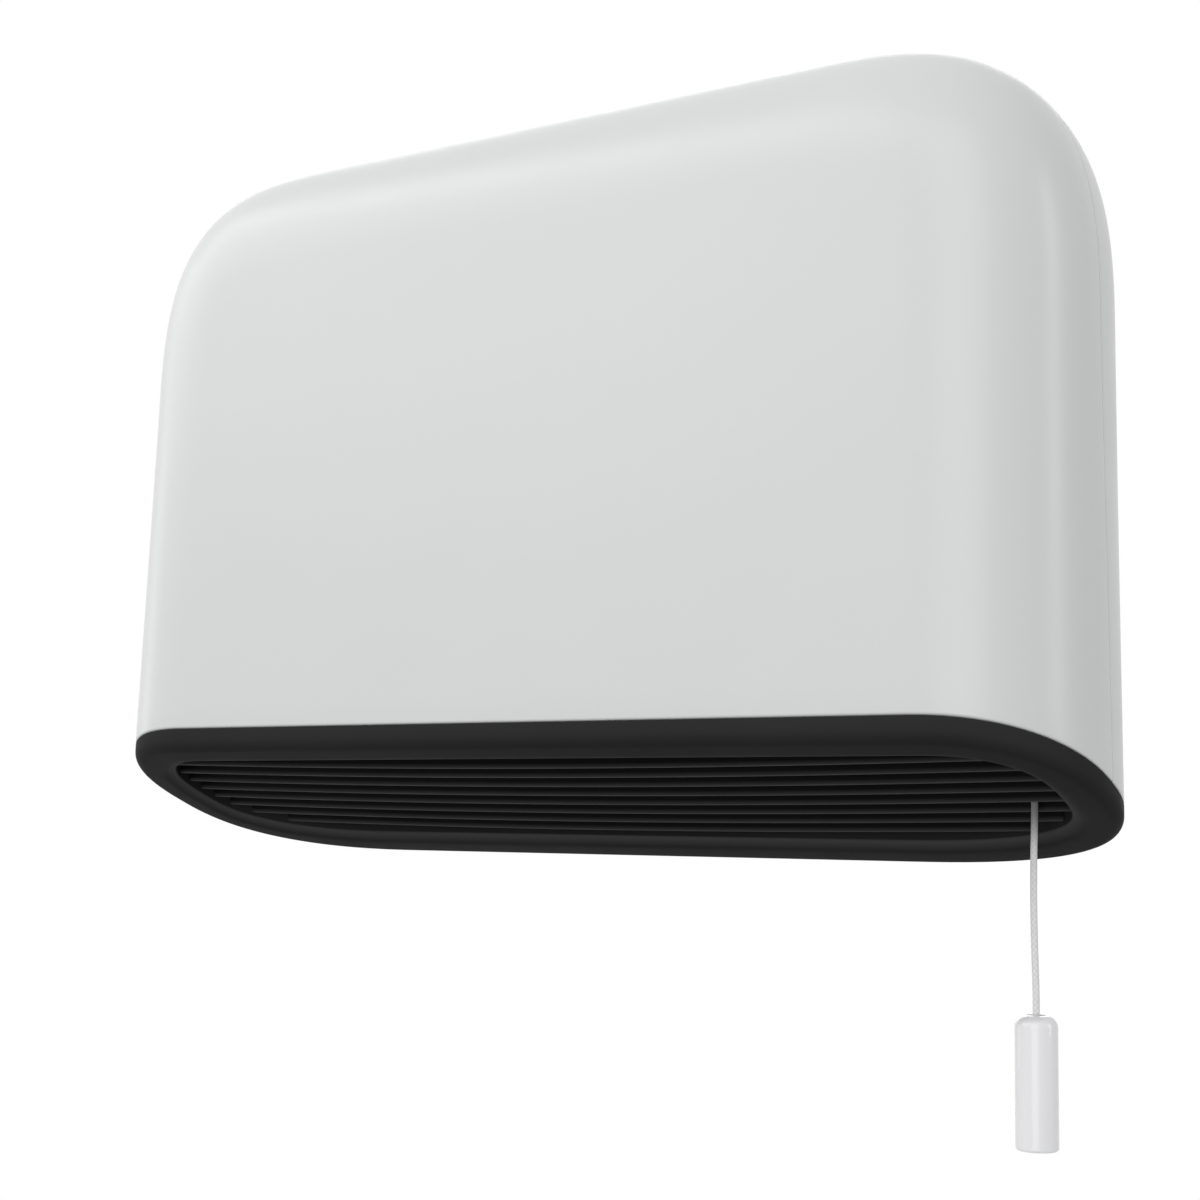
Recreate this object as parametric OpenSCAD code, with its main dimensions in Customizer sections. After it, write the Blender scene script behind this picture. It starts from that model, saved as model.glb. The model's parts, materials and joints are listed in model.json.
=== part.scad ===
// Wall fan heater for a bathroom, switched by a pull cord.
// X runs to the right seen from the front, Y runs into the wall, Z runs up.
// The origin is the middle of the wall bracket's screws, on the wall.

/* [Housing] */
// Width of the housing at its lower edge
body_w = 320; // [310:1:360]
// Height from the front cover's lower edge to the top
body_h = 184; // [180:1:215]
// Depth of the housing at its lower edge
body_d = 83; // [82:0.5:95]
// Depth of the rear half, from its back to the seam
seam_d = 42.5; // [41:0.5:44]
// Wall of the two shells
wall = 2.4; // [2:0.1:3]
// Slope of the outlet, which is lower at the wall, in degrees
slope = 20.7; // [19:0.1:22]
// How much each side leans in, per millimetre of height
side_taper = 0.015; // [0:0.001:0.03]
// How much the front leans back, per millimetre of height
front_lean = 0.028; // [0:0.001:0.035]
// Gap between the housing's back and the wall
wall_gap = 1.8; // [1.8:0.1:4]

/* [Rounding] */
// Width of the large upper corners
corner_x = 75; // [70:1:80]
// Height of the large upper corners
corner_z = 81; // [76:1:86]
// Squareness of the upper corners, 2 is an ellipse
corner_n = 2.95; // [2.6:0.05:3.2]
// How far the front edge rounds in across the face
front_in = 40.3; // [38:0.1:42]
// Squareness of the front edge
front_n = 2.33; // [2.1:0.01:2.6]
// How far the back rounds in at the outlet
rear_in = 72; // [66:1:76]
// How far the back rounds in at the top
rear_in_top = 40; // [38:1:42]
// Squareness of the back edge
rear_n = 2.5; // [2.2:0.05:2.8]

/* [Outlet] */
// Height of the bezel below the white shells
bezel_h = 6.3; // [5.5:0.1:8]
// Width of the bezel's ring
bezel_w = 13; // [12:0.1:15]
// Rounding of the bezel's outer edge
bezel_r = 3.4; // [2.5:0.1:4]
// Wall of the bezel, which is hollow on top
bezel_wall = 2; // [1.6:0.1:2.4]
// How much the bezel's inner edge is higher than its lowest line
bezel_rise = 2.4; // [1.5:0.1:3]
// Number of grille blades
blade_count = 8; // [6:1:8]
// Distance from one blade to the next
blade_pitch = 6.36; // [6.2:0.01:6.4]
// Thickness of a blade
blade_t = 1.5; // [1.2:0.1:2]
// Height of a blade
blade_h = 12; // [9:0.5:13]
// First blade's distance from the housing's front
blade_start = 20.1; // [19.6:0.1:21]
// How much the blades' edges sit above the bezel's lowest line
blade_recess = 2.2; // [1.5:0.1:3]
// How much higher a blade's edge is at its ends than in the middle
blade_crown = 1.8; // [0:0.1:2.5]

/* [Air inlet] */
// Width of the inlet grille on top
inlet_w = 156; // [120:2:160]
// Front edge of the inlet grille, from the housing's back
inlet_front = 38; // [34:1:39]
// Back edge of the inlet grille, from the housing's back
inlet_back = 9; // [8:1:14]
// Width of an inlet slot
slot_w = 3.6; // [2.4:0.1:4]
// Distance from one inlet slot to the next
slot_pitch = 6.6; // [6:0.1:8]

/* [Fan] */
// Height of the fan's axis below the housing's top
fan_drop = 72; // [68:1:76]
// Room from the fan wheel to the front cover's inside
fan_room = 9.6; // [9:0.1:12]
// Gap between the fan wheel and the start of the scroll
scroll_gap = 3; // [2:0.1:4]
// How much the scroll widens round the fan wheel
scroll_growth = 5; // [3:0.5:6]
// Number of blades on the fan wheel
vane_count = 20; // [16:1:26]
// Radius of the fan's shaft
shaft_r = 2.5; // [2:0.1:3]
// Room for the motor between the air duct and the left end
motor_room = 50; // [48:1:56]
// Room for the switch between the air duct and the right end
switch_room = 73; // [70:1:78]
// Thickness of the sheet metal pieces
sheet = 1.2; // [1:0.1:1.5]

/* [Switch] */
// Distance of the pull cord from the housing's right end
cord_inset = 23.3; // [22:0.1:24]
// Depth of the pull cord from the housing's back, which moves to a gap of the grille
cord_back = 34; // [33:0.5:35]
// Diameter of the pull cord
cord_d = 1.8; // [1.5:0.1:2]
// Length of cord that shows below the grille
cord_drop = 54; // [40:1:90]
// Diameter of the cord's handle
handle_d = 11; // [9:0.5:14]
// Length of the cord's handle
handle_l = 34; // [28:1:45]
// How far the cord can be pulled
pull = 8; // [6:0.5:8]

/* [Wall mounting] */
// Height of the origin above the front cover's lower edge
mount_rise = 84; // [80:1:90]
// Width between the wall screws
mount_w = 150; // [120:2:160]
// Height between the wall screws
mount_h = 44; // [36:1:48]
// Diameter of the holes for the wall screws
mount_hole = 5.5; // [4:0.1:6.5]
// Thickness of the wall bracket's plate
bracket_t = 1.5; // [1.2:0.1:1.7]

/* [Hidden] */
$fn = 48;

white = [0.86, 0.87, 0.87];
black = [0.08, 0.08, 0.085];
steel = [0.62, 0.63, 0.65];
brass = [0.78, 0.64, 0.34];
copper = [0.72, 0.42, 0.24];
mica = [0.62, 0.55, 0.44];
nylon = [0.82, 0.8, 0.74];

// Housing
front_d = body_d - seam_d;
tan_s = tan(slope);
drop = tan_s * body_d;
top_c = body_h - corner_z;
side_steps = 3;
corner_steps = 18;
front_steps = 16;
rear_steps = 16;
plan_steps = 16;
tongue = 3;
fit_gap = 0.15;
seam_reveal = 0.4;
inlet_gap = 0.3;
inlet_lip = 4;
inlet_frame = 3;

// Snap hooks inside both sides, which hold the cover to the rear half
snap_z = [28, 80];
snap_w = 10;
snap_t = 1.6;
snap_in = wall + 2.2;
snap_bite = 1.2;
snap_root = 8;
snap_reach = 9;
snap_seat = wall - 0.8;
keeper_y = 5;
keeper_t = 1.5;
keeper_gap = 0.2;

// Bezel and grille
bezel_up = 5;
rim_t = 1.6;
rim_gap = 0.3;
rim_up = 4;
rim_low = bezel_h - blade_recess - blade_crown - rim_up;
blade_gap = 0.35;
rib_pitch = (body_w - 2 * bezel_w) / 5 - 0.8;
rib_t = 1.4;
rib_h = 4;
blade_top = bezel_h - blade_recess - blade_h;

// Screws, all of one thread
screw_r = 1.5;
hole_r = 1.6;
head_r = 2.8;
head_h = 1.8;
screw_bite = 4;

// Sheet metal plate that carries the works, on four bosses of the rear housing
chassis_gap = 8;
chassis_y = chassis_gap + sheet;
chassis_points = [for (x = [-70, 60], z = [26, body_h - 46]) [x, z]];
chassis_r = 5;
boss_r = 4;

// Wall bracket
bracket_w = mount_w + 40;
bracket_h = mount_h + 18;
bracket_r = 6;
hook_x = mount_w / 2 - 15;
hook_w = 12;
hook_room = 2;
hook_reach = wall + hook_room + bracket_t;
hook_lip = 8.5;
hook_play = 0.2;
hook_side = 2;
hook_slot = hook_lip + 1.5;
hook_top = mount_rise + bracket_h / 2;
pad_r = 5;
pad_points = [[body_w / 2 - rear_in - 18, -4], [body_w / 2 - 70, body_h - 54]];

// Mains cable inlet
entry_x = body_w / 2 - 56;
entry_z = body_h - 60;
entry_r = 4;
entry_neck = 1.6;
entry_lip = 2;
entry_lip_t = 1.2;
entry_hole_r = 10;
cable_r = 3.4;

// Air duct, its scroll and the fan wheel between them
duct_left = body_w / 2 - motor_room;
duct_right = body_w / 2 - switch_room;
duct_front = 15 - body_d;
duct_back = -chassis_y - 4.8;
scroll_play = 2.6;
fan_back = chassis_y + sheet + scroll_gap + scroll_growth + scroll_play;
fan_front = body_d - wall - fan_room;
fan_r = (fan_front - fan_back) / 2;
fan_y = (fan_front + fan_back) / 2;
fan_z = body_h - fan_drop;
flange_w = 12;
flange_z = [30, body_h - 88];
flange_inset = 8;
chassis_x = [-duct_left - flange_w - 2, body_w / 2 - 40];
chassis_z = [18, body_h - 38];
disc_t = 1.2;
wheel_play = 3;
wheel_left = -duct_left + sheet + wheel_play;
wheel_right = duct_right - sheet - wheel_play;
hub_r = 6;
hub_l = 7;
vane_depth = 5;
vane_t = 0.7;
vane_bow = 2.4;
run_gap = 0.05;
bush_r = 9;
bush_lip = 2;
bush_lip_t = 1.2;
bearing_r = 4.5;

// Motor
motor_gap = 10.5;
shaft_tail = 5;
stack_l = 16;
stack_w = 46;
stack_right = -duct_left - motor_gap;
stack_left = stack_right - stack_l;
rotor_r = 12.7;
air_gap = 0.4;
strap_t = 1.5;
strap_rise = 4;
motor_hole = 19.5;
strap_leg = motor_hole - head_r - 1.5;
strap_foot = motor_hole + 3.5;
strap_w = 14;
core_up = 22;
core_drop = 58;
core_top = fan_z + core_up;
core_low = fan_z - core_drop;
core_bar = 12;
window_w = 26;
window_h = 20;
motor_bearing_r = 4;
motor_bearing_l = 6;
post_r = 3;
nut_h = 1.8;

// Heating element
element_z = [44, 64];
element_t = 1;
row_pitch = 15;
element_rows = [for (k = [-1 : 1]) (duct_front + duct_back) / 2 + k * row_pitch];
ribbon_h = 5;
ribbon_a = 4.5;
ribbon_t = 0.4;
ribbon_pitch = 5;
ribbon_play = 0.2;
tab_w = 6;
tab_t = 0.8;
tab_l = 12;
cutout_at = [20, 60];
cutout_r = 8;
cutout_h = 6;
fuse_r = 2.2;
fuse_l = 15;
fuse_lead = [0.5, 33];

// Switch, round the cord, which passes the grille through the middle of a gap
cord_x = body_w / 2 - cord_inset;
cord_gap = floor((body_d - cord_back - blade_start) / blade_pitch) + 0.5;
cord_y = body_d - blade_start - cord_gap * blade_pitch;
case_x = [cord_x - 21, cord_x + 11.5];
case_y = [cord_y - 14.3, cord_y + 3.7];
case_z = [20, 62];
case_t = 1.6;
cover_t = 1.6;
axis_x = cord_x - 8;
axis_z = 42;
peg_arm = 8.2;
peg_r = 1.2;
peg_a = asin(pull / 2 / peg_arm);
peg_z = axis_z + peg_arm * sin(peg_a);
pin_r = 2;
slider_w = 10;
slider_z = [40, 52];
slider_t = 3.4;
slider_play = 0.3;
rod_r = 1.8;
rod_end = 12;
spring_r = 2.5;
spring_wire = 0.4;
spring_turns = 6;
spring_play = 0.4;
disc_r = 10.2;
disc_front = cord_y - spring_r - spring_wire - spring_play;
disc_y = [disc_front, disc_front - 2.6];
cam_y = [disc_y[1] - 0.5, disc_y[1] - 4.7];
cam_r = 6.4;
cam_tooth = [15, 5];
contact_y = (cam_y[0] + cam_y[1]) / 2;
contact_w = 5.6;
contact_t = 0.8;
contact_at = 6;
stand_x = [case_x[0] - 11.5, case_x[1] - 3];
stand_z = [26, 58];
stand_foot = 13;

// Terminal block and cable clamp
block_w = 16;
block_l = 30;
block_h = 14;
block_x = [duct_right + flange_w + 2, duct_right + flange_w + 2 + block_w];
block_z = [entry_z - 26 - block_l, entry_z - 26];
way_pitch = block_l / 3;
way_r = 2;
way_in = 3.5;
way_y = chassis_y + 6;
way_x = [block_x[0] + way_in, block_x[1] - way_in];
way_z = [for (k = [-1 : 1]) (block_z[0] + block_z[1]) / 2 + k * way_pitch];
clamp_w = 21;
clamp_h = 7;
clamp_z = entry_z - 16;
clamp_screw = 6.5;

// Screw holes of the chassis: the duct's flanges, the switch's stand, the block and the clamp
flange_points = [for (z = [flange_z[0] + flange_inset, flange_z[1] - flange_inset])
    each [[-duct_left - flange_w / 2, z], [duct_right + flange_w / 2, z]]];
stand_points = [for (z = [stand_z[0] + 7, stand_z[1] - 6]) [stand_x[0] + 5, z]];
clamp_points = [for (s = [-1, 1]) [entry_x + s * clamp_screw, clamp_z]];

// Pull cord, from the slider's rod down to the knot inside the handle
grille_low = -tan_s * (body_d - cord_y) - bezel_h + blade_recess + blade_crown;
handle_top = grille_low - cord_drop;
handle_edge = 3.2;
handle_foot = 0.8;
knot_r = 2.4;
knot_h = 4;
knot_edge = 0.8;
knot_up = 1;
cord_end = handle_top - handle_l + knot_up + knot_h;
cord_route = [
    [0, 0, 12], [0, 0, 8], [0, 0, 3], [0, 0.05, -3], [0, 0.1, -9], [0, 0.1, -15], [-0.05, 0.1, -21],
    [-0.15, 0.05, -27], [-0.3, 0, -33], [-0.4, 0, -39], [-0.45, 0, -45], [-0.4, 0, -51],
    [-0.3, 0, -57], [-0.15, 0, -63], [0, 0, -69], [0, 0, -73], [0, 0, -78], [0, 0, -90]
];

// Moves a piece from the housing's own heights and depths to the origin
module place() {
    translate([0, -wall_gap, -mount_rise]) children();
}

function clamp(v) = max(0, min(1, v));
function mix(a, b, t) = a + (b - a) * t;
function se(c, n) = pow(max(c, 0), 2 / n);
function half_w(z) = body_w / 2 - side_taper * z;
function reach(z, rear) = rear ? mix(rear_in, rear_in_top, clamp((z + drop) / (top_c + drop))) : front_in;

// A station along the depth, o below the skin: [y, share of the rounding, rear, lean]
function station(a, rear, o) =
    let (n = rear ? rear_n : front_n, b = rear ? seam_d : front_d)
    let (out = (b - o) * se(cos(a), n))
    [-seam_d + (rear ? out : -out), 1 - se(sin(a), n), rear, rear ? 0 : front_lean * out / front_d];

// Height of the sloped lower edge at the station
function edge_z(st) = -tan_s * (st[0] + body_d) / (1 + tan_s * st[3]);

// A point of the skin, from the elevation's outline point p and its normal q
function skin(st, p, q, o) =
    let (in = o + st[1] * (reach(p[1], st[2]) - o), z = p[1] - q[1] * in)
    [p[0] - q[0] * in, st[0] + st[3] * z, z];

// Points of one arch, from the lower right, over the top, to the lower left
function half_arch(st, o) = concat(
    [for (k = [0 : side_steps])
        let (z = mix(edge_z(st), top_c, k / side_steps)) skin(st, [half_w(z), z], [1, 0], o)],
    [for (k = [1 : corner_steps])
        let (a = 90 * k / corner_steps, m = corner_n)
        let (nx = pow(cos(a), 2 - 2 / m) / corner_x, nz = pow(sin(a), 2 - 2 / m) / corner_z)
        let (l = norm([nx, nz]), xc = half_w(top_c) - corner_x)
        skin(st, [xc + corner_x * se(cos(a), m), top_c + corner_z * se(sin(a), m)], [nx / l, nz / l], o)]
);
function arch(st, o) =
    let (h = half_arch(st, o), n = len(h))
    concat(h, [for (k = [n - 1 : -1 : 0]) [-h[k][0], h[k][1], h[k][2]]]);

// A shell from its arches: n + 1 outer rows, some rim rows, then n + 1 inner rows
module shell(rows, n, fan_from, flip = false) {
    m = len(rows[0]);
    last = len(rows) - 1;
    points = [for (r = rows) each r];
    strips = [for (i = [0 : last - 1], k = [0 : m - 2])
        [i * m + k, i * m + k + 1, (i + 1) * m + k + 1, (i + 1) * m + k]];
    feet = [for (i = [0 : n - 2], s = [0, m - 1])
        let (q = [i * m + s, (i + 1) * m + s, (last - i - 1) * m + s, (last - i) * m + s])
        s == 0 ? q : [q[3], q[2], q[1], q[0]]];
    rim = [for (i = [n - 1 : last - n + 1]) i];
    at = search(fan_from, rim)[0];
    ring = [for (i = [0 : len(rim) - 1]) rim[(i + at) % len(rim)]];
    ends = [
        [for (i = ring) i * m],
        [for (i = [len(ring) - 1 : -1 : 0]) ring[(i + 1) % len(ring)] * m + m - 1]
    ];
    caps = [
        [for (k = [m : -1 : 1]) (k + m / 2) % m],
        [for (k = [0 : m - 1]) last * m + (k + m / 2) % m],
        [0, last * m, last * m + m - 1, m - 1]
    ];
    faces = concat(strips, feet, ends, caps);
    turned = [for (f = faces) [for (i = [len(f) - 1 : -1 : 0]) f[i]]];
    polyhedron(points, flip ? turned : faces, convexity = 6);
}

// The two shells meet at the seam: a tongue of half the wall, in a step of the cover
module front_shell() {
    angles = [for (i = [0 : front_steps]) 90 * i / front_steps];
    outer = [for (a = angles) arch(station(a, false, 0), 0)];
    inner = [for (i = [front_steps - 1 : -1 : 0]) arch(station(angles[i], false, wall), wall)];
    cut = -seam_d - tongue - fit_gap;
    rim = [
        arch([-seam_d, 0, false, 0], wall / 2),
        arch([cut, 0, false, 0], wall / 2),
        arch([cut, 0, false, 0], wall)
    ];
    shell(concat(outer, rim, inner), front_steps, front_steps - 1);
}

module rear_shell() {
    angles = [for (i = [0 : rear_steps]) 90 * i / rear_steps];
    seam = seam_reveal - seam_d;
    outer = [for (i = [0 : rear_steps])
        arch(i < rear_steps ? station(angles[i], true, 0) : [seam, 0, true, 0], 0)];
    inner = [for (i = [rear_steps - 1 : -1 : 0]) arch(station(angles[i], true, wall), wall)];
    tip = -seam_d - tongue;
    rim = [
        arch([seam, 0, true, 0], wall / 2 + fit_gap),
        arch([tip, 0, true, 0], wall / 2 + fit_gap),
        arch([tip, 0, true, 0], wall)
    ];
    shell(concat(outer, rim, inner), rear_steps, rear_steps + 4, true);
}

// A block on the wall of each side, between two insets from the skin and two depths from the seam
module side_blocks(in0, in1, y0, y1) for (s = [-1, 1], z = snap_z)
    translate([s * (half_w(z) - (in0 + in1) / 2), (y0 + y1) / 2 - seam_d, z])
        cube([in1 - in0, y1 - y0, snap_w], center = true);

// Hooks reach past the seam and catch behind the cover's keepers
module snap_hooks() {
    side_blocks(snap_seat, snap_in + snap_t, 1, snap_root);
    side_blocks(snap_in, snap_in + snap_t, -snap_reach, 2);
    side_blocks(snap_in - snap_bite, snap_in + snap_t / 2, -snap_reach, -keeper_y - keeper_t - keeper_gap);
}

module snap_keepers() side_blocks(snap_seat, snap_in - keeper_gap, -keeper_y - keeper_t, -keeper_y);

module front_cover() place() color(white) {
    front_shell();
    snap_keepers();
}

module rear_housing() place() color(white) {
    difference() {
        union() {
            rear_shell();
            snap_hooks();
            for (p = chassis_points) translate([p[0], -chassis_gap, p[1]])
                rotate([-90, 0, 0]) cylinder(r = boss_r, h = chassis_gap - wall / 2);
        }
        for (p = chassis_points) translate([p[0], -chassis_gap - 1, p[1]])
            rotate([-90, 0, 0]) cylinder(r = screw_r, h = chassis_gap);
        translate([-inlet_w / 2 - inlet_gap, -inlet_front - inlet_gap, body_h - rear_in_top])
            cube([inlet_w + 2 * inlet_gap, inlet_front - inlet_back + 2 * inlet_gap, 2 * rear_in_top]);
        translate([entry_x, -wall - 1, entry_z])
            rotate([-90, 0, 0]) cylinder(r = entry_r + entry_neck, h = wall + 2);
        for (s = [-1, 1])
            translate([s * hook_x - hook_w / 2 - hook_side, -wall - 1, hook_top + hook_play - hook_slot])
                cube([hook_w + 2 * hook_side, wall + 2, hook_slot]);
    }
}

// --- Bezel and grille ---

// Right half of the housing's plan, inset by u, from the front to the back
function plan_half(u) = [
    for (rear = [false, true], k = [0 : plan_steps])
        if (!rear || k > 0)
            let (a = rear ? 90 - 90 * k / plan_steps : 90 * k / plan_steps)
            let (n = rear ? rear_n : front_n, b = rear ? seam_d : front_d, st = station(a, rear, 0))
            let (z = edge_z(st), r = reach(z, rear))
            let (q = [pow(sin(a), 2 - 2 / n) / r, pow(cos(a), 2 - 2 / n) / b], l = norm(q))
            [half_w(z) - st[1] * r - u * q[0] / l, st[0] - (rear ? u : -u) * q[1] / l]
];
function plan(u) =
    let (h = plan_half(u), n = len(h))
    concat(h, [for (k = [n - 1 : -1 : 0]) [-h[k][0], h[k][1]]]);

// Height of the sloped edge of the white shells at depth y
function slope_z(y) = -tan_s * (y + body_d);

// Section of the bezel: [inset from the skin, depth below the white shells' edge]
bezel_section = concat(
    [[0.25, fit_gap], [0, 0.5]],
    [for (k = [0 : 4]) [bezel_r * (1 - cos(22.5 * k)), bezel_h - bezel_r * (1 - sin(22.5 * k))]],
    [
        [bezel_w * 0.55, bezel_h - bezel_rise * 0.12],
        [bezel_w - 3.2, bezel_h - bezel_rise * 0.4],
        [bezel_w - 1.3, bezel_h - bezel_rise * 0.75],
        [bezel_w - 0.3, bezel_h - bezel_rise * 1.1],
        [bezel_w, bezel_h - bezel_rise - 1],
        [bezel_w, -bezel_up],
        [bezel_w - bezel_wall, -bezel_up],
        [bezel_w - bezel_wall, bezel_h - bezel_rise - bezel_wall],
        [bezel_r + 0.5, bezel_h - bezel_wall],
        [bezel_wall, bezel_h - bezel_r],
        [bezel_wall, fit_gap + 1.5],
        [wall + fit_gap + 1.4, fit_gap + 1.5],
        [wall + fit_gap + 1.4, -4],
        [wall + fit_gap, -4],
        [wall + fit_gap, fit_gap]
    ]
);

module outlet_bezel() place() color(black) {
    n = len(bezel_section);
    lines = [for (p = bezel_section) plan(p[0])];
    m = len(lines[0]);
    points = [for (i = [0 : n - 1], p = lines[i]) [p[0], p[1], slope_z(p[1]) - bezel_section[i][1]]];
    faces = [for (i = [0 : n - 1], k = [0 : m - 1])
        [i * m + k, i * m + (k + 1) % m, (i + 1) % n * m + (k + 1) % m, (i + 1) % n * m + k]];
    polyhedron(points, faces, convexity = 8);
}

// Everything between two depths below the white shells' edge
module band(upper, lower) {
    y0 = -body_d - 20;
    y1 = 20;
    rotate([90, 0, 90]) linear_extrude(body_w * 1.2, center = true)
        polygon([[y0, slope_z(y0) - upper], [y1, slope_z(y1) - upper],
            [y1, slope_z(y1) - lower], [y0, slope_z(y0) - lower]]);
}

module plan_prism(u) translate([0, 0, -2 * drop]) linear_extrude(4 * drop) polygon(plan(u));

module blade(k) {
    y = -body_d + blade_start + k * blade_pitch;
    low = slope_z(y) - bezel_h + blade_recess;
    half = body_w / 2 - bezel_w;
    translate([0, y + blade_t / 2, 0]) rotate([90, 0, 0]) linear_extrude(blade_t)
        polygon(concat(
            [for (s = [-1 : 1 / 12 : 1.001]) [s * half, low + blade_crown * s * s]],
            [[half, low + blade_h], [-half, low + blade_h]]
        ));
}

module outlet_grille() place() color(black) {
    rim_u = bezel_w + rim_gap;
    difference() {
        intersection() {
            plan_prism(rim_u);
            band(blade_top, rim_low);
        }
        plan_prism(rim_u + rim_t);
    }
    intersection() {
        difference() {
            plan_prism(bezel_w - bezel_wall);
            plan_prism(rim_u + 0.2);
        }
        band(-bezel_up - fit_gap - 1.4, -bezel_up - fit_gap);
    }
    intersection() {
        plan_prism(bezel_w + blade_gap);
        union() {
            for (k = [0 : blade_count - 1]) blade(k);
            intersection() {
                for (s = [-2 : 2]) translate([s * rib_pitch - rib_t / 2, -body_d, -2 * drop])
                    cube([rib_t, body_d, 4 * drop]);
                band(blade_top, blade_top + rib_h);
            }
        }
    }
}

// --- Air inlet ---

// Strip of the top skin between two depths below it, seen from the side
module top_strip(o1, o2) {
    angles = [for (i = [0 : 16]) 90 * i / 16];
    function row(o) = [for (a = angles) let (st = station(a, true, o))
        [st[0], body_h - o - st[1] * (rear_in_top - o)]];
    polygon(concat(row(o1), [for (i = [16 : -1 : 0]) row(o2)[i]]));
}

module inlet_grille() place() color(white) {
    slots = floor((inlet_w - 2 * inlet_frame) / slot_pitch);
    depth = inlet_front - inlet_back;
    difference() {
        union() {
            intersection() {
                along_x(-inlet_w / 2, inlet_w / 2) top_strip(0, wall + fit_gap + 0.45);
                translate([-body_w, -inlet_front, 0]) cube([2 * body_w, depth, 2 * body_h]);
            }
            intersection() {
                along_x(-inlet_w / 2 - inlet_lip, inlet_w / 2 + inlet_lip)
                    top_strip(wall + fit_gap, wall + fit_gap + 1.2);
                translate([-body_w, -inlet_front - 3, 0]) cube([2 * body_w, depth + 6, 2 * body_h]);
            }
        }
        for (k = [0 : slots - 1])
            translate([(k - (slots - 1) / 2) * slot_pitch - slot_w / 2, inlet_frame - inlet_front, 0])
                cube([slot_w, depth - 2 * inlet_frame, 2 * body_h]);
    }
}

// --- Wall side ---

module wall_bracket() color(steel) translate([0, -wall_gap, 0]) {
    difference() {
        translate([0, wall_gap, 0]) rotate([90, 0, 0]) linear_extrude(bracket_t)
            rounded(bracket_w, bracket_h, bracket_r);
        for (sx = [-1, 1], sz = [-1, 1]) translate([sx * mount_w / 2, -1, sz * mount_h / 2])
            rotate([-90, 0, 0]) cylinder(d = mount_hole, h = wall_gap + 2);
    }
    for (s = [-1, 1]) translate([s * hook_x - hook_w / 2, 0, bracket_h / 2 - bracket_t]) {
        translate([0, -hook_reach, 0]) cube([hook_w, hook_reach + wall_gap, bracket_t]);
        translate([0, -hook_reach, 0]) cube([hook_w, bracket_t, hook_lip]);
    }
}

module wall_pads() place() color(black)
    for (p = pad_points, s = [-1, 1]) translate([s * p[0], 0, p[1]])
        rotate([-90, 0, 0]) cylinder(r = pad_r, h = wall_gap);

module cable_grommet() place() color(black) translate([entry_x, 0, entry_z]) rotate([-90, 0, 0])
    rotate_extrude() translate([entry_r, 0]) {
        translate([0, -wall - entry_lip_t]) square([entry_neck, wall + 2 * entry_lip_t]);
        for (y = [0, -wall - entry_lip_t]) translate([0, y]) square([entry_neck + entry_lip, entry_lip_t]);
    }

// A screw along +Y, its head's seat at depth y and its tip at depth tip
module screw_y(x, z, y, tip) translate([x, -y, z]) rotate([-90, 0, 0]) {
    cylinder(r = screw_r, h = y - tip);
    translate([0, 0, -head_h]) cylinder(r = head_r, h = head_h);
}

// Holes along Y at points, through everything
module holes_y(points, r) for (p = points) translate([p[0], 0, p[1]])
    rotate([90, 0, 0]) cylinder(r = r, h = 2 * body_d, center = true);

module chassis() place() color(steel) difference() {
    translate([(chassis_x[0] + chassis_x[1]) / 2, -chassis_gap, (chassis_z[0] + chassis_z[1]) / 2])
        rotate([90, 0, 0]) linear_extrude(sheet)
            rounded(chassis_x[1] - chassis_x[0], chassis_z[1] - chassis_z[0], chassis_r);
    holes_y(concat(chassis_points, flange_points, stand_points, clamp_points), hole_r);
    holes_y([[entry_x, entry_z]], entry_hole_r);
}

module chassis_screws() place() color(steel)
    for (p = chassis_points) screw_y(p[0], p[1], chassis_y, wall / 2 + hole_r);

// --- Blower ---

module along_x(x0, x1) translate([x0, 0, 0]) rotate([90, 0, 90]) linear_extrude(x1 - x0) children();

module rounded(w, h, r) {
    square([w - 2 * r, h], center = true);
    square([w, h - 2 * r], center = true);
    for (x = [-1, 1], y = [-1, 1]) translate([x * (w / 2 - r), y * (h / 2 - r)]) circle(r);
}

// A strip of sheet along points, t thick to the left of its direction
function side_normal(p, i) =
    let (a = p[max(i - 1, 0)], b = p[min(i + 1, len(p) - 1)], d = b - a) [-d[1], d[0]] / norm(d);
function strip(p, t) =
    concat(p, [for (i = [len(p) - 1 : -1 : 0]) p[i] + t * side_normal(p, i)]);

// Height just above the grille's blades at depth y
function duct_end(y) = slope_z(y) - blade_top + 1.5;

// A point at radius r from the fan's axis, at angle a above the way to the wall
function round_fan(r, a) = [-fan_y + r * cos(a), fan_z + r * sin(a)];

scroll_back_line = concat(
    [round_fan(fan_r + scroll_gap, 70) + [3, 8]],
    [for (k = [0 : 9]) round_fan(fan_r + scroll_gap + scroll_growth * k / 9, 70 - 10 * k)],
    [[duct_back, fan_z - fan_r - 5], [duct_back, duct_end(duct_back)]]
);
scroll_front_line = [
    [duct_front, duct_end(duct_front)], [duct_front, fan_z - fan_r - 1],
    round_fan(fan_r + 5.3, 216.4), round_fan(fan_r + 2.5, 200), round_fan(fan_r + 4, 190)
];

module scroll_back() place() color(steel)
    along_x(-duct_left + sheet, duct_right - sheet) polygon(strip(scroll_back_line, sheet));

module scroll_front() place() color(steel)
    along_x(-duct_left + sheet, duct_right - sheet) polygon(strip(scroll_front_line, sheet));

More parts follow.
